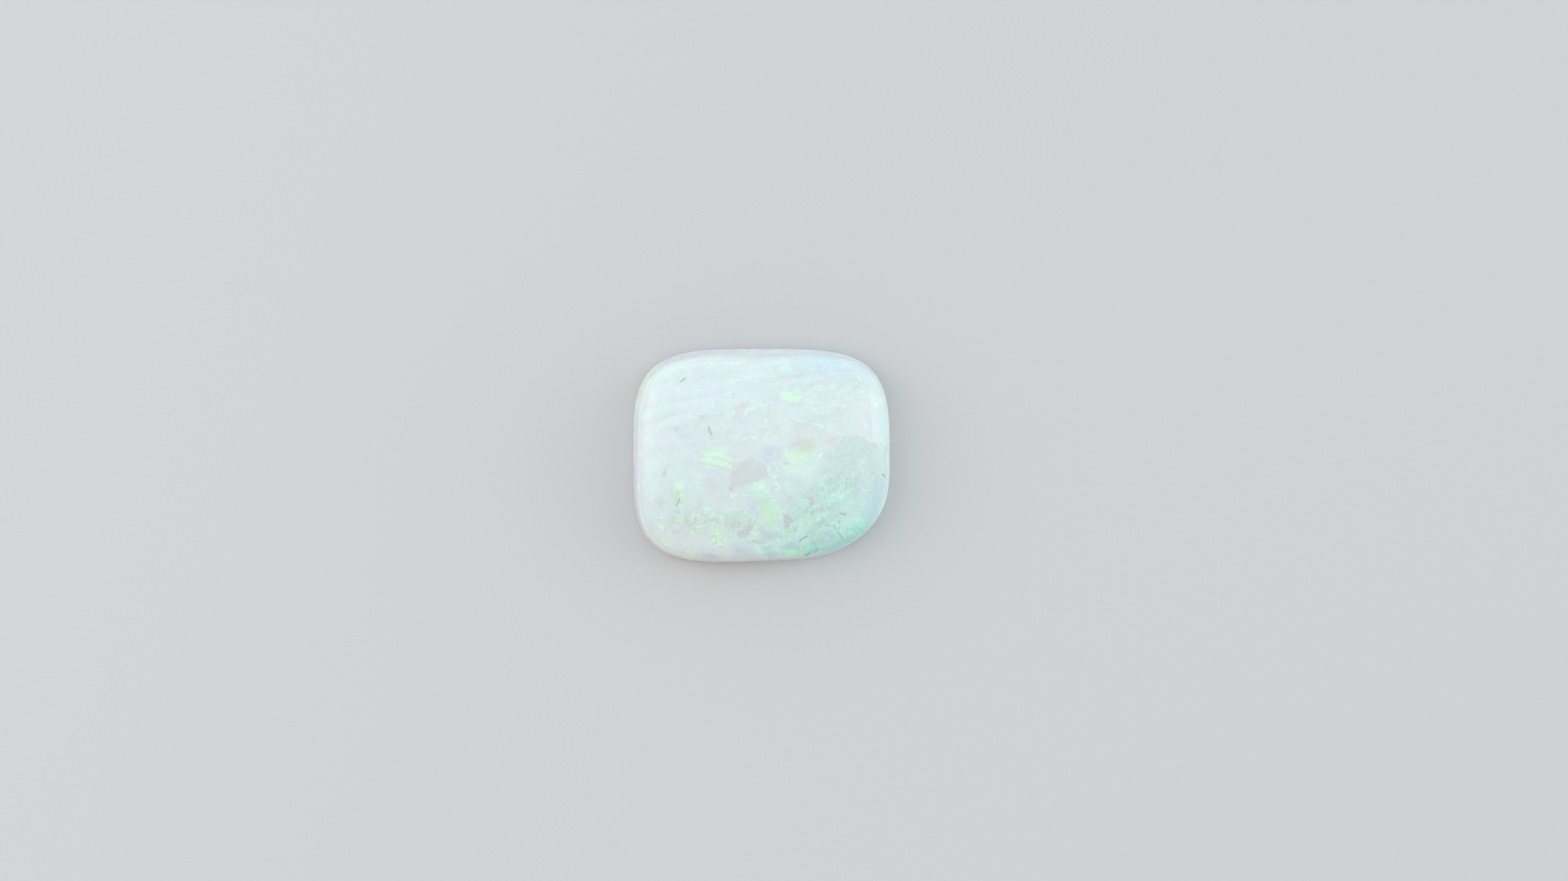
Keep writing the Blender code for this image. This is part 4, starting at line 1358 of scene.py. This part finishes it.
def opal_back(tree, place, colour):
    """The ground back: off-white potch with grey clouds, tan stains and faint straight lap marks."""
    back = attribute(tree, "back", "Fac")
    clouds = noise(tree, place, 420.0, 5.0)
    stains = noise(tree, warped(tree, place, 300.0, 2.0 * MM), 230.0, 3.0)
    laps = noise(tree, grain_place(tree, place, 28, 9.0 * MM, 0.05 * MM), 1.0, 2.0)
    rows = (
        (clouds, 0.45, 0.68, 1.0, cast(-22, -22, -20)),
        (stains, 0.56, 0.70, 1.0, cast(-12, -34, -52)),
        (laps, 0.52, 0.66, 1.0, cast(-9, -9, -9)),
    )
    return touches(tree, tinted_by(tree, colour, back, cast(-12, -20, -24)), back, rows)


def opal_polish(tree, place, surface):
    """Glossy above with faint haze, satin on the ground back, and fine bump of pits and grinding lines."""
    back = attribute(tree, "back", "Fac")
    wall = attribute(tree, "wall", "Fac")
    haze = ramp(tree, noise(tree, place, 900.0, 4.0), 0.40, 0.70)
    rough = 0.11
    for part, more in ((haze, 0.07), (wall, 0.06), (back, 0.30)):
        rough = maths(tree, "MULTIPLY_ADD", part, more, rough)
    tree.links.new(rough, surface.inputs["Roughness"])

    pits = ramp(tree, noise(tree, place, 9000.0, 2.0), 0.30, 0.42)
    grind = noise(tree, stretched(tree, place, (260.0, 260.0, 14000.0)), 1.0, 3.0)
    laps = noise(tree, grain_place(tree, place, 28, 6.0 * MM, 0.05 * MM), 1.0, 3.0)
    lines = maths(tree, "ADD", times(tree, grind, wall), times(tree, laps, back))
    relief = maths(tree, "MULTIPLY_ADD", pits, 0.35, lines)
    inputs = {"Height": relief, "Strength": 0.5, "Distance": 0.003 * MM}
    tree.links.new(add(tree, "ShaderNodeBump", inputs).outputs["Normal"], surface.inputs["Normal"])


def opal_material():
    """White opal: the body colour with its painted highlight and rim shading, one layer of marks after the
    other over it, and the polish.
    """
    material, tree, surface = new_material("white_opal")
    place = add(tree, "ShaderNodeTexCoord", {}).outputs["Object"]
    colour = attribute(tree, "body")
    for layer in (
        opal_bands,
        opal_mottle,
        opal_patchwork,
        opal_cloud,
        opal_feathers,
        opal_speckle,
        opal_beads,
        opal_flashes,
        opal_wall,
        opal_back,
    ):
        colour = layer(tree, place, colour)
    inputs = {0: colour, 1: (WHITEST, WHITEST, WHITEST)}
    limited = add(tree, "ShaderNodeVectorMath", inputs, operation="MINIMUM").outputs[0]
    tree.links.new(limited, surface.inputs["Base Color"])
    surface.inputs["IOR"].default_value = OPAL_IOR
    opal_polish(tree, place, surface)
    return material


def lint_material(name, colour):
    """Fluff: a matt colour, mottled along its length."""
    material, tree, surface = new_material(name)
    place = add(tree, "ShaderNodeTexCoord", {}).outputs["Object"]
    mottle = ramp(tree, noise(tree, place, 22000.0, 2.0), 0.3, 0.7)
    base = add(tree, "ShaderNodeRGB", {}).outputs[0]
    base.default_value = (*colour, 1.0)
    fluff = tinted_by(tree, base, times(tree, mottle, 0.5), (0.6, 0.55, 0.5))
    tree.links.new(fluff, surface.inputs["Base Color"])
    surface.inputs["Roughness"].default_value = 0.85
    return material


def floor_material():
    """Matt pale grey."""
    material, _, surface = new_material("pale_floor")
    surface.inputs["Base Color"].default_value = (*FLOOR_GREY, 1.0)
    surface.inputs["Roughness"].default_value = 0.9
    surface.inputs["Specular IOR Level"].default_value = 0.1
    return material


def pale_floor():
    """A flat square, far wider than any view of the stone, a hundredth of a millimetre below its back."""
    sides = ((-1, -1), (1, -1), (1, 1), (-1, 1))
    corners = [(x * FLOOR_HALF, y * FLOOR_HALF, FLOOR_LEVEL) for x, y in sides]
    mesh = bpy.data.meshes.new("pale_floor")
    mesh.from_pydata(corners, [], [(0, 1, 2, 3)])
    mesh.materials.append(floor_material())
    floor = bpy.data.objects.new("pale_floor", mesh)
    bpy.context.scene.collection.objects.link(floor)


def softbox(name, bearing, polar, distance, width, height, radiance, glints):
    """A rectangular light that faces the stone. Its power is pi * area * radiance."""
    light = bpy.data.lights.new(name, "AREA")
    light.shape = "RECTANGLE"
    light.size = width
    light.size_y = height
    light.energy = math.pi * width * height * radiance
    lamp = bpy.data.objects.new(name, light)
    turn, fall = math.radians(bearing), math.radians(polar)
    way = Vector((math.sin(fall) * math.cos(turn), math.sin(fall) * math.sin(turn), math.cos(fall)))
    lamp.location = way * distance
    lamp.rotation_mode = "QUATERNION"
    lamp.rotation_quaternion = way.to_track_quat("Z", "Y")
    lamp.visible_camera = False
    lamp.visible_glossy = glints
    bpy.context.scene.collection.objects.link(lamp)


def sky():
    """A plain sky that dims from the horizon up to the height whose sine is 0.7, and is even above it."""
    world = bpy.data.worlds.new("studio")
    bpy.context.scene.world = world
    world.use_nodes = True
    tree = world.node_tree
    way = add(tree, "ShaderNodeTexCoord", {}).outputs["Generated"]
    rise = add(tree, "ShaderNodeSeparateXYZ", {"Vector": way}).outputs["Z"]
    inputs = {"Value": rise, "From Max": 0.7, "To Min": HORIZON_RADIANCE, "To Max": ZENITH_RADIANCE}
    strength = add(tree, "ShaderNodeMapRange", inputs).outputs["Result"]
    tree.links.new(strength, tree.nodes["Background"].inputs["Strength"])
    tree.nodes["Background"].inputs["Color"].default_value = (*SKY_TINT, 1.0)


def studio():
    """Two soft lights with brighter cores that glint on the stone, a low one at its right, and the sky."""
    for row in SOFTBOXES:
        softbox(*row)
    sky()


def overhead_camera():
    """Straight above, so that the stone's middle falls where the photograph has it."""
    camera_data = bpy.data.cameras.new("camera")
    camera_data.lens = LENS
    camera_data.sensor_width = SENSOR
    camera = bpy.data.objects.new("camera", camera_data)
    pixel = 2.0 * HALF_LENGTH / STONE_LENGTH_SEEN
    frame_width = pixel * PHOTO_WIDTH
    camera.location = (
        (PHOTO_WIDTH / 2 - STONE_MIDDLE_X) * pixel,
        (STONE_MIDDLE_Y - PHOTO_HEIGHT / 2) * pixel,
        GIRDLE_HEIGHT + frame_width * LENS / SENSOR,
    )
    camera_data.clip_start = 0.01
    camera_data.clip_end = 10.0
    bpy.context.scene.collection.objects.link(camera)
    bpy.context.scene.camera = camera


overhead_camera()
studio()
pale_floor()
lint(opal_stone())

# The plain transform, so that a white surface in white light shows white.
bpy.context.scene.view_settings.view_transform = "Standard"
